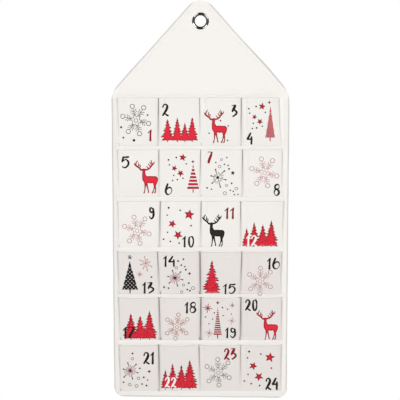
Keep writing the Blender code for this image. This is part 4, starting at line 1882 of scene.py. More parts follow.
STAG_BOX = (58.0, 82.0)
STAG_ANTLERS_Z = 58.0
STAG_STROKES: tuple[tuple[Triple, ...], ...] = (
    ((26.0, 36.6, 6.4), (31.0, 35.4, 7.8), (38.0, 34.7, 8.6), (45.0, 34.9, 8.1), (50.0, 36.0, 7.2)),
    ((50.3, 35.8, 7.4), (50.6, 30.0, 5.9), (49.9, 22.5, 3.3), (49.7, 15.5, 1.7)),
    ((25.2, 39.0, 5.8), (27.4, 31.0, 4.9), (28.6, 24.5, 2.9)),
    ((23.9, 58.4, 3.6), (23.4, 52.0, 3.4), (23.8, 46.0, 4.3), (25.4, 40.0, 5.9)),
    ((27.0, 26.0, 2.3), (26.4, 18.0, 1.4), (25.8, 11.0, 1.0), (24.9, 5.5, 0.95), (23.7, 1.8, 1.5)),
    ((29.8, 26.0, 2.3), (31.4, 18.5, 1.5), (33.0, 12.0, 1.15), (34.0, 7.0, 1.05), (34.4, 3.4, 1.5)),
    ((49.2, 16.5, 1.8), (47.4, 11.0, 1.05), (46.0, 6.4, 1.0), (43.8, 1.9, 1.45)),
    ((50.9, 16.5, 1.7), (51.7, 11.0, 1.0), (51.5, 6.0, 1.0), (49.6, 2.0, 1.5)),
    (
        (21.4, 59.6, 1.7), (17.0, 59.0, 1.9), (12.8, 63.2, 1.45), (8.4, 66.6, 1.5), (4.4, 70.2, 1.55), (4.8, 76.2, 1.0),
        (8.2, 81.6, 0.6),
    ),
    ((12.6, 63.2, 1.1), (14.8, 67.4, 0.9), (14.4, 71.6, 0.5)),
    ((8.6, 66.6, 1.1), (11.6, 71.2, 0.9), (10.6, 76.4, 0.5)),
    ((4.8, 70.0, 1.1), (1.8, 71.6, 0.9), (0.8, 75.4, 0.5)),
    (
        (26.6, 59.6, 1.7), (31.4, 59.8, 1.6), (37.4, 63.0, 1.45), (41.2, 68.0, 1.5), (44.8, 72.2, 1.35),
        (47.8, 74.8, 1.0), (48.8, 78.6, 0.6),
    ),
    ((36.6, 62.4, 1.1), (32.8, 64.6, 0.85), (30.4, 68.0, 0.5)),
    ((41.0, 67.6, 1.1), (37.4, 69.8, 0.9), (34.8, 73.6, 0.5)),
    ((44.4, 71.6, 1.1), (40.6, 74.4, 0.9), (38.0, 78.4, 0.5)),
    ((44.4, 72.4, 1.0), (42.8, 77.6, 0.8), (41.2, 82.4, 0.5)),
)


def draw_numeral(drawing: Drawing, text: str, box: Sequence[float]) -> None:
    """Draws a number with brush strokes.

    Args:
        drawing: What it is added to.
        text: The number.
        box: Left, bottom, right and top in millimetres.
    """
    widths = [0.33 if sign == "1" else 0.58 for sign in text]
    start, bottom, right, top = box
    height = top - bottom
    wide = (right - start) / (sum(widths) + GLYPH_GAP * (len(text) - 1))
    for sign, width in zip(text, widths):
        for stroke in GLYPHS[sign]:
            weight = height * GLYPH_WEIGHT
            drawing.brush([(start + x * wide, bottom + z * height, half * weight) for x, z, half in stroke])
        start += (width + GLYPH_GAP) * wide


def draw_snowflake(drawing: Drawing, centre: Point, reach: float, turn: float, line: float) -> None:
    """Draws a six-armed crystal in outline, a ring at the end of each arm.

    Args:
        drawing: What it is added to.
        centre: Its middle.
        reach: From the middle to a ring's middle.
        turn: Degrees by which it is turned, to the right.
        line: Half the line's width.
    """
    def at(angle: float, along: float, aside: float = 0.0) -> Triple:
        """Returns a point of an arm, with the line's half width.

        Args:
            angle: The arm's bearing in radians.
            along: Share of the reach along the arm.
            aside: Share of the reach beside it.

        Returns:
            The point and the half width.
        """
        sine, cosine = math.sin(angle), math.cos(angle)
        x, z = along * sine + aside * cosine, along * cosine - aside * sine
        return centre[0] + reach * x, centre[1] + reach * z, line

    strays = ((4.0, 1.04), (-10.0, 1.06), (2.0, 0.91), (4.0, 0.97), (-6.0, 0.955), (6.0, 0.985))
    spokes = [(math.radians(turn + arm * 60.0 + stray), grown) for arm, (stray, grown) in enumerate(strays)]
    bearings = [angle for angle, _ in spokes]
    for (angle, grown), following in zip(spokes, [*bearings[1:], bearings[0] + math.tau]):
        drawing.ring(at(angle, grown)[:2], reach * 0.175, 2.4 * line)
        drawing.stroke([at(angle, 0.44), at(angle, grown - 0.16)])
        hollow = at((angle + following) / 2, 0.25)
        drawing.stroke([at(angle, 0.47), hollow])
        drawing.stroke([hollow, at(following, 0.47)])
        for side in (-1.0, 1.0):
            for root, tip, aside, knob in ((0.62, 0.75, 0.20, 1.5), (0.50, 0.60, 0.22, 1.3), (0.36, 0.44, 0.14, 1.2)):
                end = at(angle, tip * grown, side * aside)
                drawing.stroke([at(angle, root * grown, side * aside * 0.15), end])
                drawing.disc(end[:2], line * knob, 8)
    drawing.ring(centre, reach * 0.15, 2 * line)
    drawing.ring(centre, reach * 0.07, 1.6 * line, 10)


def draw_star(drawing: Drawing, x: float, z: float, radius: float, turn: float) -> None:
    """Draws a five-pointed star with a waist a little under a half.

    Args:
        drawing: What it is added to.
        x: Its middle, across.
        z: Its middle, up.
        radius: To its points.
        turn: Degrees by which it is turned, to the right.
    """
    points = []
    for step in range(10):
        reach = radius * (1.0 if step % 2 == 0 else 0.45) * (1.0 + 0.06 * math.sin(step * 2.3 + x))
        points.append(polar((x, z), turn + 36.0 * step, reach))
    drawing.outline(points)


def draw_diamond(drawing: Drawing, x: float, z: float, radius: float) -> None:
    """Draws a four-pointed spark with hollow sides."""
    drawing.outline([polar((x, z), 45.0 * step, radius * (0.55 if step % 2 else 1.15)) for step in range(8)])


def draw_fir(drawing: Drawing, x: float, top: float, foot: float, width: float, seed: int) -> None:
    """Draws a spruce with ragged flanks and a short trunk.

    Args:
        drawing: What it is added to.
        x: Its middle.
        top: Height of its tip.
        foot: Height of its lowest boughs.
        width: Across its lowest boughs.
        seed: Makes its boughs its own.
    """
    rng = random.Random(seed)
    top, foot, width = top - 1.2, max(foot - 2.2, 1.9), width * 1.06
    height = top - foot
    count = max(6, round(height / 7.2))
    step = height / count
    flanks: list[list[Point]] = []
    for side in (1.0, -1.0):
        flank = []
        for level in range(1, count + 1):
            share = level / count
            low = top - height * share + (step * rng.uniform(-0.18, 0.18) if level < count else 0.0)
            reach = width / 2 * min(1.0, 0.03 + 1.20 * share) * rng.uniform(0.84, 1.10)
            reach *= 0.92 if level == count else 1.0
            root = reach * (0.30 + 0.34 * share)
            lift = step * rng.uniform(0.0, 0.25)
            flank += [(x + side * out, low + step * up + lift * raised) for out, up, raised in (
                (root, 0.98, 0.0), ((root + reach) / 2, 0.60, 0.0), (reach * 0.90, 0.28, 1.0), (reach, 0.16, 1.5),
                (reach * 0.88, 0.02, 0.5), ((root + reach) / 2, -0.04, 0.0), (root * 1.05, 0.10, 0.0),
            )]
        flanks.append(flank)
    drawing.outline([(x, top), *flanks[0], *reversed(flanks[1])])
    drawing.stroke([(x, top + 2.6, 0.45), (x, top - height * 0.20, 0.8)])
    drawing.stroke([(x, foot, 1.0), (x, max(foot - 3.2, 1.3), 0.9)])


def draw_thicket(drawing: Drawing, left: float, right: float, foot: float, height: float, seed: int) -> None:
    """Draws the ragged mass in which a stand of firs grows together.

    Args:
        drawing: What it is added to.
        left: Its left end.
        right: Its right end.
        foot: Its lower edge.
        height: Its mean height.
        seed: Makes its edge its own.
    """
    rng = random.Random(seed)
    count = round((right - left) / 3.3)
    foot = max(foot - 1.4, 2.2)
    places = [left + (right - left) * index / count for index in range(count + 1)]
    upper = []
    for index, x in enumerate(places):
        end = min(1.0, 0.15 + 0.3 * min(index, count - index))
        upper.append((x, foot + height * end * rng.uniform(0.6, 1.25)))
    drawing.outline(upper + [(x, max(foot - rng.uniform(-1.2, 1.6), 1.4)) for x in reversed(places)])


def draw_stag(drawing: Drawing, left: float, foot: float, width: float, height: float) -> None:
    """Draws a standing stag seen from its side, its head towards the viewer, in a box.

    Args:
        drawing: What it is added to.
        left: The box's left side.
        foot: The box's foot.
        width: The box's width.
        height: The box's height.
    """
    wide, high = width / STAG_BOX[0], height / STAG_BOX[1]
    for stroke in STAG_STROKES:
        drawing.brush([
            (left + x * wide, foot + z * high, half * wide + (0.28 if z < STAG_ANTLERS_Z else 0.40))
            for x, z, half in stroke
        ])


def draw_burst(
    drawing: Drawing, centre: Point, arms: Sequence[Point], core: float, long_arms: bool, short_rays: bool, knob: float,
) -> None:
    """Draws a starburst: knobbed arms of their own lengths and short rays between them.

    Args:
        drawing: What it is added to.
        centre: Its middle.
        arms: Length and bearing in degrees of each arm.
        core: Radius of the spot in the middle.
        long_arms: True to draw the arms.
        short_rays: True to draw the core and the rays.
        knob: Half width of an arm's outer end.
    """
    def ray(length: float, bearing: float, start: float, thick: float, thin: float) -> None:
        """Adds one tapered ray."""
        ends = (*polar(centre, bearing, start), thin), (*polar(centre, bearing, length), thick)
        drawing.stroke(ends, steps=8)

    ordered = sorted(arms, key=lambda arm: arm[1])
    whole = long_arms and short_rays
    ray_start, ray_grown = (0.36, 1.0) if whole else (0.34, 1.10)
    bearings = [bearing for _, bearing in ordered]
    for (length, bearing), following in zip(ordered, [*bearings[1:], bearings[0] + 360.0]):
        gap = following - bearing
        if long_arms:
            far = length - knob
            ray(far, bearing, core + 0.6 if whole else length * 0.40, knob * 0.57, knob * 0.31)
            drawing.disc(polar(centre, bearing, far), knob, 8)
        if short_rays:
            for share, reach in ((0.36, 0.58), (0.68, 0.52)) if gap > 52.0 else ((0.5, 0.55),):
                ray(length * reach * ray_grown, bearing + gap * share, length * ray_start, knob * 0.33, knob * 0.25)
        if short_rays and not whole:
            for share, reach in ((0.0, 0.42), (0.25, 0.32), (0.5, 0.32), (0.75, 0.32)):
                ray(length * reach, bearing + gap * share, core * 0.6, 0.36, 0.42)
    drawing.disc(centre, core * (1.0 if whole else 1.05 if long_arms else 0.9))


def draw_spark(drawing: Drawing, x: float, z: float, radius: float, weight: float) -> None:
    """Draws a small eight-rayed spark of thin or thick rays, every second one shorter.

    Args:
        drawing: What it is added to.
        x: Its middle, across.
        z: Its middle, up.
        radius: To its long rays' tips.
        weight: Factor on the rays' width.
    """
    for step in range(8):
        bearing, reach = 45.0 * step + 8.0, radius * (1.0 if step % 2 == 0 else 0.72)
        root, tip = polar((x, z), bearing, radius * 0.12), polar((x, z), bearing, reach)
        drawing.stroke([(*root, 0.45 * weight), (*tip, 0.36 * weight)], steps=6)
    drawing.disc((x, z), max(0.9, radius * 0.11))


def draw_striped_tree(drawing: Drawing, x: float, top: float, foot: float, width: float, stripes: float) -> None:
    """Draws a tree of level stripes that widen downwards, with a trunk.

    Args:
        drawing: What it is added to.
        x: Its middle.
        top: Height of its tip.
        foot: Height of its lowest stripe.
        width: Across its lowest stripe.
        stripes: Number of stripes.
    """
    count = int(stripes)
    step = (top - foot) / count
    for index in range(count):
        z = top - (top - foot) * (index + 1) / count + step * 0.5
        half = width / 2 * (index + 0.6) / count
        low, high, below, above = half * 1.03, half * 0.94, z - step * 0.32, z + step * 0.32
        drawing.outline([(x - low, below), (x + low, below), (x + high, above), (x - high, above)])
    drawing.stroke([(x, foot - 0.2, 1.25), (x, foot - 7.2, 1.25)])


def draw_spotted_tree(
    drawing: Drawing, x: float, top: float, foot: float, width: float, spot: float, across: float,
) -> None:
    """Draws a plain pointed tree with a staggered pattern of round spots left open.

    Args:
        drawing: What it is added to.
        x: Its middle.
        top: Height of its tip.
        foot: Height of its base.
        width: Across its base.
        spot: Radius of a spot.
        across: From one spot of a row to the next.
    """
    half = width / 2
    tiers = 5
    edge = []
    for tier in range(1, tiers + 1):
        share = tier / tiers
        edge.append((half * share * 1.03, top - (top - foot) * share))
        if tier < tiers:
            edge.append((half * share - spot * 0.9, top - (top - foot) * share - spot * 0.2))
    left = [(x - reach, z) for reach, z in reversed(edge)]
    drawing.outline([(x, top), *((x + reach, z) for reach, z in edge), *left])
    rows = across * 0.52
    level = 0
    z = foot + spot * 1.6
    while z < top - rows * 3.0:
        reach = half * (top - z) / (top - foot) - spot * 0.9
        place = 0.0 if level % 2 else across / 2
        while place <= reach:
            for side in ((1.0,) if place == 0 else (-1.0, 1.0)):
                drawing.disc((x + side * place, z), spot, 10, hole=True)
            place += across
        z += rows
        level += 1
    drawing.stroke([(x, foot, 1.4), (x, foot - 8.0, 1.4)])


class Motif(Enum):
    """The kinds of figure in the prints."""

    SNOWFLAKE = "snowflake"
    FIRS = "firs"
    STAG = "stag"
    STARS = "stars"
    BURST = "burst"
    SPARKS = "sparks"
    DOTS = "dots"
    RINGS = "rings"
    DIAMONDS = "diamonds"
    STRIPED_TREE = "striped_tree"
    SPOTTED_TREE = "spotted_tree"


@dataclass(frozen=True)
class Print:
    """One printed figure of one ink in one pocket, placed in millimetres from the pocket's lower left corner."""

    pocket: int
    motif: Motif
    ink: Ink
    places: tuple[tuple[float, ...], ...]
    turn: float = 0.0
    size: float = 0.0


PLAIN_FIGURES = {
    Motif.DIAMONDS: draw_diamond, Motif.SPARKS: draw_spark, Motif.STAG: draw_stag,
    Motif.STRIPED_TREE: draw_striped_tree, Motif.SPOTTED_TREE: draw_spotted_tree,
}
NUMERALS: tuple[tuple[float, float, float, float], ...] = (
    (75.3, 12.0, 86.1, 39.9), (9.3, 74.3, 26.3, 104.8), (78.5, 72.0, 92.4, 101.9), (14.4, 3.2, 28.3, 32.7),
    (9.6, 72.0, 29.0, 102.0), (15.5, 4.4, 33.1, 33.8), (18.5, 84.2, 31.0, 113.5), (78.6, 2.0, 93.3, 32.4),
    (78.6, 71.4, 92.0, 102.3), (56.8, -0.1, 86.7, 27.7), (59.5, 72.4, 84.5, 100.4), (14.2, 2.1, 41.7, 30.3),
    (61.5, 1.6, 90.2, 30.6), (12.6, 70.8, 42.1, 98.4), (58.5, 0.4, 89.7, 26.4), (65.1, 64.0, 97.3, 93.1),
    (9.7, 4.1, 40.8, 33.8), (63.6, 70.1, 92.5, 98.6), (62.6, 5.4, 90.0, 32.5), (11.1, 76.4, 42.3, 105.4),
    (60.4, 71.4, 88.4, 102.7), (14.5, 9.7, 43.5, 36.4), (61.2, 82.8, 92.3, 112.5), (63.0, 3.6, 94.8, 35.4),
)
RED_NUMERALS = frozenset((1, 7, 11, 23))
WHITE_NUMERALS = frozenset((12, 22))
EDGE_REACHES = {(0, Motif.STARS): 1.75, (0, Motif.STAG): 1.25, (2, Motif.FIRS): 0.7, (4, Motif.SPOTTED_TREE): 0.18}
FLAKE_LINES = {1: 0.62, 8: 0.53, 9: 0.54, 16: 0.51, 18: 0.60, 23: 0.51}
MOTTLED = {2: 0.05, 12: 0.30, 15: 0.50, 17: 0.55, 22: 0.55}
BURST_KNOBS = {7: 1.95, 13: 1.5, 14: 1.95, 21: 1.95}
SPLIT_BURSTS = {
    14: ((41.4, 41.6, 2.6), (22.3, -17), (19.7, -77), (21.1, -133), (23.3, 161), (22.2, 103), (23.4, 44)),
    21: ((27.2, 54.2, 2.6), (23.2, -16), (19.4, -78), (25.0, -138), (24.4, 165), (22.2, 107), (24.4, 43)),
}
PRINTS: tuple[Print, ...] = (
    Print(1, Motif.SNOWFLAKE, Ink.GREY, ((46.2, 63.0),), -18.5, 35.0),
    Print(1, Motif.DOTS, Ink.BLACK, ((75.1, 76.5, 2.3), (8.7, 46.1, 2.8), (14.0, 20.2, 2.5), (40.5, 13.5, 3.4))),
    Print(2, Motif.FIRS, Ink.RED, (
        (23.0, 64.8, 15.0, 31.0), (47.7, 69.3, 15.0, 27.5), (66.4, 56.1, 15.0, 23.0), (84.9, 69.3, 15.0, 30.0),
    ), size=9.0),
    Print(3, Motif.STAG, Ink.RED, ((10.4, 6.4, 57.5, 82.5),)),
    Print(3, Motif.DOTS, Ink.BLACK, ((51.4, 62.6, 2.0), (70.4, 49.4, 2.0), (22.5, 31.2, 2.0), (69.0, 13.2, 2.0))),
    Print(4, Motif.DOTS, Ink.BLACK, (
        (18.7, 92.4, 2.3), (36.8, 97.9, 2.3), (20.7, 81.2, 2.0), (59.8, 83.2, 2.0), (30.0, 56.1, 2.0),
        (52.5, 48.6, 2.0), (27.8, 43.1, 2.0), (38.5, 44.6, 2.3),
    )),
    Print(4, Motif.STARS, Ink.RED, ((51.5, 98.0, 7.6), (32.9, 71.9, 5.6), (46.4, 60.2, 6.6))),
    Print(4, Motif.SPOTTED_TREE, Ink.RED, ((72.5, 98.9, 20.6, 24.0, 1.1, 6.2),)),
    Print(4, Motif.DIAMONDS, Ink.MAROON, ((69.6, 107.9, 3.9),)),
    Print(5, Motif.STAG, Ink.RED, ((41.3, 8.1, 59.8, 83.2),)),
    Print(6, Motif.STARS, Ink.RED, ((60.3, 99.2, 8.1), (39.3, 72.0, 6.3), (54.5, 59.5, 7.4))),
    Print(6, Motif.DOTS, Ink.BLACK, (
        (24.5, 93.2, 2.3), (44.0, 99.2, 2.3), (26.8, 80.7, 2.0), (69.0, 83.2, 2.0), (37.5, 54.4, 2.0),
        (60.7, 46.9, 2.0), (34.7, 41.4, 2.0), (46.5, 43.4, 2.0),
    )),
    Print(6, Motif.STRIPED_TREE, Ink.RED, ((86.1, 80.65, 18.35, 31.0, 7.0),)),
    Print(6, Motif.DIAMONDS, Ink.MAROON, ((85.6, 88.6, 3.9),)),
    Print(7, Motif.BURST, Ink.BLACK, (
        (43.6, 48.7, 3.7), (25.8, 45), (21.8, -136), (23.0, 106), (26.8, 164), (22.9, -15), (19.1, -76),
    )),
    Print(7, Motif.DOTS, Ink.BLACK, (
        (66.3, 99.2, 2.0), (38.8, 86.7, 2.0), (60.3, 82.0, 2.0), (69.6, 79.0, 2.0), (72.1, 70.5, 2.4),
        (78.6, 34.1, 2.3), (17.0, 22.6, 2.3), (28.1, 19.3, 2.0), (75.2, 16.6, 2.0), (82.9, 13.8, 2.0),
        (85.5, 5.5, 2.0), (94.6, 5.8, 2.0),
    )),
    Print(7, Motif.RINGS, Ink.GREY, (
        (52.8, 93.7, 3.3), (48.3, 76.5, 4.0), (65.6, 28.6, 3.5), (61.7, 9.0, 4.6), (90.4, 20.8, 4.1),
    )),
    Print(7, Motif.STARS, Ink.BLACK, ((81.3, 60.2, 4.8),)),
    Print(8, Motif.SNOWFLAKE, Ink.ROSE, ((55.0, 60.5),), -17.7, 34.5),
    Print(9, Motif.SNOWFLAKE, Ink.ROSE, ((48.6, 41.8),), -16.6, 34.0),
    Print(10, Motif.STARS, Ink.RED, ((74.2, 82.8, 11.2), (31.5, 59.2, 8.6), (46.0, 30.9, 9.9))),
    Print(10, Motif.DOTS, Ink.BLACK, (
        (22.8, 100.1, 2.8), (51.6, 93.8, 2.3), (19.0, 81.4, 2.0), (78.7, 54.7, 2.3), (19.6, 37.8, 2.0),
        (9.5, 20.1, 2.3), (26.6, 14.3, 2.3), (48.7, 9.8, 2.3),
    )),
    Print(11, Motif.STAG, Ink.BLACK, ((3.4, 0.9, 56.5, 82.0),)),
    Print(12, Motif.FIRS, Ink.RED, (
        (15.1, 46.9, 4.2, 23.0), (33.8, 62.6, 4.2, 29.0), (55.4, 56.1, 4.2, 30.0), (77.2, 67.2, 4.2, 35.0),
    ), size=15.0),
    Print(13, Motif.SPOTTED_TREE, Ink.BLACK, ((30.2, 85.4, 11.4, 39.5, 1.22, 9.4),)),
    Print(13, Motif.STARS, Ink.BLACK, ((30.8, 95.4, 5.6),)),
    Print(13, Motif.BURST, Ink.ROSE, (
        (70.4, 79.6, 2.3), (18.2, -9), (17.9, -60), (14.6, -105), (17.1, -155), (21.3, 168), (19.0, 121), (12.4, 72),
        (11.7, 27),
    )),
    Print(13, Motif.SPARKS, Ink.ROSE, ((55.0, 51.2, 8.1, 1.3),)),
    Print(13, Motif.DOTS, Ink.BLACK, ((84.4, 43.9, 2.3),)),
    Print(14, Motif.BURST, Ink.RED, SPLIT_BURSTS[14]),
    Print(14, Motif.BURST, Ink.GREY, SPLIT_BURSTS[14]),
    Print(14, Motif.DOTS, Ink.BLACK, (
        (49.7, 85.2, 2.5), (63.3, 89.8, 2.3), (57.8, 74.6, 2.3), (66.6, 70.8, 2.0), (69.1, 62.9, 2.5),
        (76.6, 28.4, 2.5), (14.1, 18.0, 2.6), (25.4, 15.4, 2.3), (72.6, 11.6, 2.3), (79.4, 8.6, 2.5),
    )),
    Print(14, Motif.RINGS, Ink.GREY, ((45.4, 67.9, 3.5), (63.0, 23.3, 3.5), (87.2, 15.4, 4.6), (58.4, 5.2, 3.8))),
    Print(14, Motif.DIAMONDS, Ink.MAROON, ((78.4, 52.9, 4.1),)),
    Print(15, Motif.FIRS, Ink.RED, ((29.9, 85.6, 3.0, 44.0),)),
    Print(16, Motif.SNOWFLAKE, Ink.ROSE, ((48.3, 33.0),), -3.0, 32.5),
    Print(17, Motif.FIRS, Ink.RED, (
        (29.9, 67.6, 6.0, 38.0), (53.6, 61.8, 6.0, 36.0), (77.1, 75.3, 6.0, 37.0),
    ), size=17.0),
    Print(18, Motif.SNOWFLAKE, Ink.ROSE, ((43.7, 34.0),), 2.8, 31.0),
    Print(19, Motif.STRIPED_TREE, Ink.RED, ((43.4, 86.0, 12.5, 21.0, 13.0),)),
    Print(19, Motif.DIAMONDS, Ink.MAROON, ((43.4, 97.0, 4.2), (55.3, 84.5, 2.8))),
    Print(19, Motif.SPARKS, Ink.RED, ((18.2, 82.8, 11.7, 2.2), (80.0, 90.2, 7.6, 1.0))),
    Print(19, Motif.SPARKS, Ink.ROSE, ((79.3, 50.2, 10.4, 1.1), (22.0, 18.0, 11.4, 1.3))),
    Print(19, Motif.DOTS, Ink.BLACK, (
        (34.8, 70.8, 1.9), (12.6, 59.9, 1.9), (30.8, 54.8, 1.7), (21.2, 42.5, 1.8), (57.3, 63.7, 1.7),
        (68.4, 80.1, 1.9), (77.8, 67.5, 1.7),
    )),
    Print(20, Motif.STAG, Ink.RED, ((40.0, 0.2, 55.2, 77.0),)),
    Print(21, Motif.BURST, Ink.RED, SPLIT_BURSTS[21]),
    Print(21, Motif.BURST, Ink.GREY, SPLIT_BURSTS[21]),
    Print(21, Motif.DOTS, Ink.BLACK, (
        (33.7, 99.0, 2.5), (51.8, 60.1, 2.3), (61.6, 36.4, 2.5), (71.4, 29.2, 2.0), (10.1, 23.6, 2.3),
        (57.2, 18.7, 2.3), (68.3, 14.6, 2.5),
    )),
    Print(21, Motif.RINGS, Ink.GREY, ((33.1, 85.2, 3.8), (48.4, 33.9, 4.1), (26.0, 17.2, 4.1), (43.0, 13.6, 4.3))),
    Print(21, Motif.DIAMONDS, Ink.MAROON, ((75.4, 51.8, 4.3),)),
    Print(22, Motif.FIRS, Ink.RED, (
        (16.4, 54.3, 9.9, 24.0), (34.7, 71.0, 9.9, 29.0), (57.0, 67.4, 9.9, 32.0), (78.1, 80.7, 9.9, 38.5),
    ), size=18.0),
    Print(23, Motif.SNOWFLAKE, Ink.GREY, ((47.4, 48.5),), -6.7, 33.5),
    Print(24, Motif.STARS, Ink.RED, ((73.7, 88.8, 10.9), (31.5, 66.2, 8.9), (46.3, 38.0, 9.9))),
    Print(24, Motif.DOTS, Ink.BLACK, (
        (21.3, 103.7, 2.8), (50.6, 97.5, 2.3), (17.5, 87.5, 2.0), (77.9, 60.8, 2.3), (18.9, 44.2, 2.0),
        (9.6, 26.4, 2.3), (27.1, 19.5, 2.3), (48.4, 14.6, 2.3),
    )),
)


@dataclass
class Printer:
    """Lays the drawings on the pockets as thin films of ink."""

    strips: dict[int, PocketRow]
    cloths: dict[int, Piece]
    wardrobe: Wardrobe
    film: float = 0.00007
    lift: float = 0.00012
    second_lift: float = 0.00005
    numeral_lift: float = 0.00009
    grid_step: float = 2.6
    rim_width: float = 0.0026
    rim_step: float = 0.0008
    cast_y: float = -0.05
    missed_y: float = -0.0075

    def __post_init__(self) -> None:
        """Prepares each strip's surface for laying ink on it."""
        self.surfaces = {}
        for number, cloth in self.cloths.items():
            bm = bmesh.new()
            bm.from_mesh(cloth.data)
            self.surfaces[number] = BVHTree.FromBMesh(bm)
            bm.free()

    def origin(self, pocket: int) -> tuple[int, float, float]:
        """Returns a pocket's row and the place of its lower left corner.

        Args:
            pocket: The pocket's number.

        Returns:
            The row's number, the place across and the height.
        """
        row, index = divmod(pocket - 1, 4)
        plan = self.strips[row + 1].row
        return row + 1, (plan.seams_mouth[index] + plan.seams_foot[index]) / 2, plan.foot

    def _triangles(self, drawing: Drawing) -> tuple[list[Vector], list[list[int]]]:
        """Cuts a drawing into triangles of about the cloth's own fineness.

        Args:
            drawing: The flat shapes.

        Returns:
            Points in millimetres of the pocket and the triangles that are filled.
        """
        verts, faces = [], []
        for outline in drawing.fills + drawing.holes:
            faces.append(list(range(len(verts), len(verts) + len(outline))))
            verts += [Vector(point) for point in outline]
        low = [min(vert[axis] for vert in verts) for axis in (0, 1)]
        high = [max(vert[axis] for vert in verts) for axis in (0, 1)]
        across = np.arange(low[0] + 0.37, high[0], self.grid_step)
        for level, z in enumerate(np.arange(low[1] + 0.41, high[1], self.grid_step)):
            verts += [Vector((float(x) + (level % 2) * self.grid_step / 2, float(z))) for x in across]
        points, _, triangles, _, _, origins = delaunay_2d_cdt(verts, [], faces, 1, 1e-5)
        solid = len(drawing.fills)
        filled = []
        for triangle, source in zip(triangles, origins):
            if source and all(index < solid for index in source):
                filled.append(triangle)
        return points, filled

    def lay(
        self, drawing: Drawing, pocket: int, name: str, ink: Ink, lift: float = 0.0, mottle: float = 0.0,
        edge: float = 1.0,
    ) -> Piece:
        """Makes one film of ink from a drawing.

        Args:
            drawing: The flat shapes.
            pocket: The pocket that it is on.
            name: The piece's name.
            ink: Its ink.
            lift: Extra height above the cloth, where inks overlap.
            mottle: How unevenly the ink covers inside its edges, 0 to 1.
            edge: Factor on how far its denser edge reaches in.

        Returns:
            The piece.
        """
        row, left, foot = self.origin(pocket)
        points, triangles = self._triangles(drawing)
        bm = bmesh.new()
        placed: dict[int, BMVert] = {}
        for triangle in triangles:
            for index in triangle:
                if index not in placed:
                    place = Vector((left + points[index].x * MM, self.cast_y, foot + points[index].y * MM))
                    hit = self.surfaces[row].ray_cast(place, WALLWARD)[0]
                    depth = self.missed_y if hit is None else hit.y
                    placed[index] = bm.verts.new((place.x, depth - self.lift - lift, place.z))
            if len(set(triangle)) == 3:
                bm.faces.new([placed[index] for index in triangle])
        self.thicken(bm, mottle, self.rim_width * edge)
        bmesh.ops.translate(bm, verts=back_it(bm), vec=(0.0, self.film, 0.0))
        face_out(bm)
        return place_piece(name, bm, self.wardrobe.inks[ink], (), 35.0)

    def thicken(self, bm: BMesh, mottle: float, reach: float) -> None:
        """Marks how dense the ink is: most along a figure's edge, where the stencil lets more of it down.

        Args:
            bm: One side of the film.
            mottle: How unevenly it covers inside.
            reach: How far the denser edge reaches in.
        """
        dense = bm.verts.layers.float.new("dense")
        marks = []
        for edge in bm.edges:
            if edge.is_boundary:
                start, end = (vert.co for vert in edge.verts)
                steps = max(1, math.ceil((end - start).length / self.rim_step))
                marks += [start.lerp(end, step / steps) for step in range(steps)]
        tree = KDTree(len(marks))
        for index, mark in enumerate(marks):
            tree.insert(mark, index)
        tree.balance()
        for vert in bm.verts:
            near = 1.0 - tree.find(vert.co)[2] / reach
            patch = mottle * (0.3 + 2.2 * grain(vert.co.x * 420.0, 0.0, vert.co.z * 420.0))
            vert[dense] = min(1.0, max(0.0, near, patch))

    def draw(self, job: Print) -> Drawing:
        """Draws one print's figures.

        Args:
            job: The print.

        Returns:
            The drawing.
        """
        drawing = Drawing()
        if job.motif is Motif.BURST:
            (x, z, core), *arms = job.places
            long_arms = job.pocket not in SPLIT_BURSTS or job.ink is Ink.GREY
            draw_burst(drawing, (x, z), arms, core, long_arms, job.ink is not Ink.GREY, BURST_KNOBS[job.pocket])
            return drawing
        for index, place in enumerate(job.places):
            if job.motif is Motif.SNOWFLAKE:
                draw_snowflake(drawing, place, job.size, job.turn, FLAKE_LINES[job.pocket])
            elif job.motif is Motif.DOTS:
                drawing.disc(place[:2], place[2] * 0.96, 12)
            elif job.motif is Motif.RINGS:
                drawing.ring(place[:2], place[2], 1.15)
            elif job.motif is Motif.STARS:
                draw_star(drawing, *place[:2], place[2] * 1.25, 10.0 + 14.0 * (index % 3))
            elif job.motif is Motif.FIRS:
                draw_fir(drawing, *place, seed=job.pocket * 10 + index)
            else:
                PLAIN_FIGURES[job.motif](drawing, *place)
        if job.motif is Motif.FIRS and len(job.places) > 1:
            first, last = job.places[0], job.places[-1]
            draw_thicket(drawing, first[0] - first[3] * 0.45, last[0] + last[3] * 0.45, first[2], job.size, job.pocket)
        return drawing

    def build(self) -> dict[int, list[Piece]]:
        """Prints every pocket.

        Returns:
            The ink pieces of each row.
        """
        made: dict[int, list[Piece]] = {number: [] for number in self.strips}
        for job in PRINTS:
            name = f"print_{job.pocket:02d}_{job.motif.value}_{job.ink.name.lower()}"
            lift = self.second_lift if job.motif is Motif.BURST and job.ink is Ink.GREY else 0.0
            edge = EDGE_REACHES.get((job.pocket, job.motif), EDGE_REACHES.get((0, job.motif), 1.0))
            mottle = MOTTLED.get(job.pocket, 0.0) if job.motif is Motif.FIRS else 0.0
            piece = self.lay(self.draw(job), job.pocket, name, job.ink, lift, mottle, edge)
            made[self.origin(job.pocket)[0]].append(piece)
        for pocket, box in enumerate(NUMERALS, start=1):
            ink = Ink.MAROON if pocket in RED_NUMERALS else Ink.WHITE if pocket in WHITE_NUMERALS else Ink.BLACK
            drawing = Drawing()
            draw_numeral(drawing, str(pocket), box)
            piece = self.lay(drawing, pocket, f"numeral_{pocket:02d}", ink, self.numeral_lift)
            made[self.origin(pocket)[0]].append(piece)
        return made


# Studio

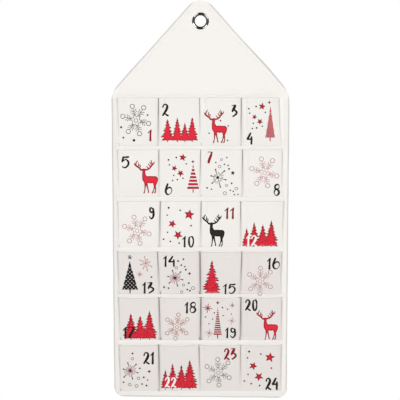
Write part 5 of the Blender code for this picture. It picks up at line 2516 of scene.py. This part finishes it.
@dataclass
class Studio:
    """Camera, lamps, world and floor."""

    camera_place: Triple = (-0.00125, -2.992, -0.227)
    pitch: float = math.radians(4.2)
    lens: float = 107.2
    lamp_aside: float = 0.85
    lamp_place: Point = (-3.5, 0.05)
    lamp_aim: Triple = (0.0, 0.0, -0.45)
    lamp_side: float = 1.4
    key_power: float = 58.6
    fill_power: float = 50.8
    ambient: float = 0.16
    floor_z: float = -1.45
    floor_radius: float = 2.2
    fade_start: float = 0.4

    def camera(self) -> None:
        """Makes the camera of the photograph."""
        data = bpy.data.cameras.new("studio_camera")
        data.lens = self.lens
        data.sensor_width = 36.0
        camera = add_object("studio_camera", data)
        camera.location = self.camera_place
        camera.rotation_euler = (math.radians(90.0) - self.pitch, 0.0, 0.0)
        bpy.context.scene.camera = camera

    def lamp(self, name: str, x: float, power: float) -> None:
        """Hangs one square soft box, aimed at the calendar's middle.

        Args:
            name: Its name.
            x: Where it hangs, across.
            power: Its power in watts.
        """
        data = bpy.data.lights.new(name, "AREA")
        data.shape = "RECTANGLE"
        data.size = data.size_y = self.lamp_side
        data.energy = power
        lamp = add_object(name, data)
        lamp.location = (x, *self.lamp_place)
        lamp.rotation_euler = (Vector(self.lamp_aim) - lamp.location).to_track_quat("-Z", "Y").to_euler()

    def world(self) -> None:
        """Makes a world that lights plainly and shows white behind and in the metal."""
        world = bpy.data.worlds.new("studio_world")
        bpy.context.scene.world = world
        world.use_nodes = True
        graph = Graph(world.node_tree)
        background = world.node_tree.nodes["Background"].inputs
        path = graph.node("LightPath").outputs
        seen = graph.maths("MAXIMUM", path["Is Camera Ray"], path["Is Transmission Ray"])
        seen = graph.maths("MAXIMUM", seen, path["Is Glossy Ray"])
        graph.feed(opaque((1.0, 1.0, 1.0)), background["Color"])
        graph.feed(graph.spread(seen, self.ambient, 1.0), background["Strength"])

    def floor(self) -> None:
        """Lays a pale floor whose rim fades into the white behind it."""
        bm = bmesh.new()
        sunk = Matrix.Translation((0, 0, self.floor_z))
        bmesh.ops.create_circle(bm, cap_ends=True, segments=96, radius=self.floor_radius, matrix=sunk)
        material = bpy.data.materials.new("studio_floor")
        material.use_nodes = True
        graph = Graph(material.node_tree)
        shader = material.node_tree.nodes["Principled BSDF"]
        graph.feed(opaque((0.9, 0.9, 0.9)), shader.inputs["Base Color"])
        graph.feed(0.8, shader.inputs["Roughness"])
        parts = graph.node("SeparateXYZ", vector=graph.node("TexCoord").outputs["Object"]).outputs
        fade = graph.node(
            "MapRange", value=graph.radius(parts["X"], parts["Y"]), from_min=self.fade_start,
            from_max=self.floor_radius * 0.9,
        )
        share = graph.maths("MULTIPLY", fade.outputs["Result"], graph.node("LightPath").outputs["Is Camera Ray"])
        mix = graph.node("MixShader")
        for index, socket in enumerate((share, shader.outputs[0], graph.node("Emission").outputs[0])):
            graph.feed(socket, mix.inputs[index])
        graph.feed(mix.outputs[0], material.node_tree.nodes["Material Output"].inputs["Surface"])
        floor = add_object("studio_floor", to_mesh(bm, "studio_floor"))
        floor.data.materials.append(material)

    def build(self) -> None:
        """Sets up the whole studio."""
        bpy.context.scene.view_settings.view_transform = "Standard"
        self.camera()
        self.world()
        self.floor()
        self.lamp("key_light", -self.lamp_aside, self.key_power)
        self.lamp("fill_light", self.lamp_aside, self.fill_power)


def main() -> None:
    """Builds the sub-assemblies in order and works out the cut sizes of the panel and the strips."""
    logging.basicConfig(level=logging.INFO, format="%(name)s: %(message)s")
    plan = CalendarPlan()
    rows = plan.rows()
    wardrobe = Wardrobe(len(rows))
    panel = HangingPanel(plan, wardrobe)
    front = panel.build_front()
    lining = panel.build_lining()
    stiffener = panel.build_core("gable_stiffener", "stiffener_felt")
    interlining = panel.build_core("body_interlining", "interlining_felt")
    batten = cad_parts["spreader_batten"]
    batten.data.materials.clear()
    batten.data.materials.append(wardrobe.batten)
    stitching = Stitching(wardrobe)
    border = stitching.around(panel)
    strips, cloths, seams = {}, {}, {}
    for row in rows:
        strip = PocketRow(plan, row, wardrobe)
        strips[row.number] = strip
        cloths[row.number] = strip.build()
        seams[row.number] = stitching.on_row(strip)
    Eyelet(plan, wardrobe).build()
    inked = Printer(strips, cloths, wardrobe).build()

    size, area = panel.cut_size()
    for number, strip in strips.items():
        strip.cut_size()
    Studio().build()


if __name__ == "__main__":
    main()
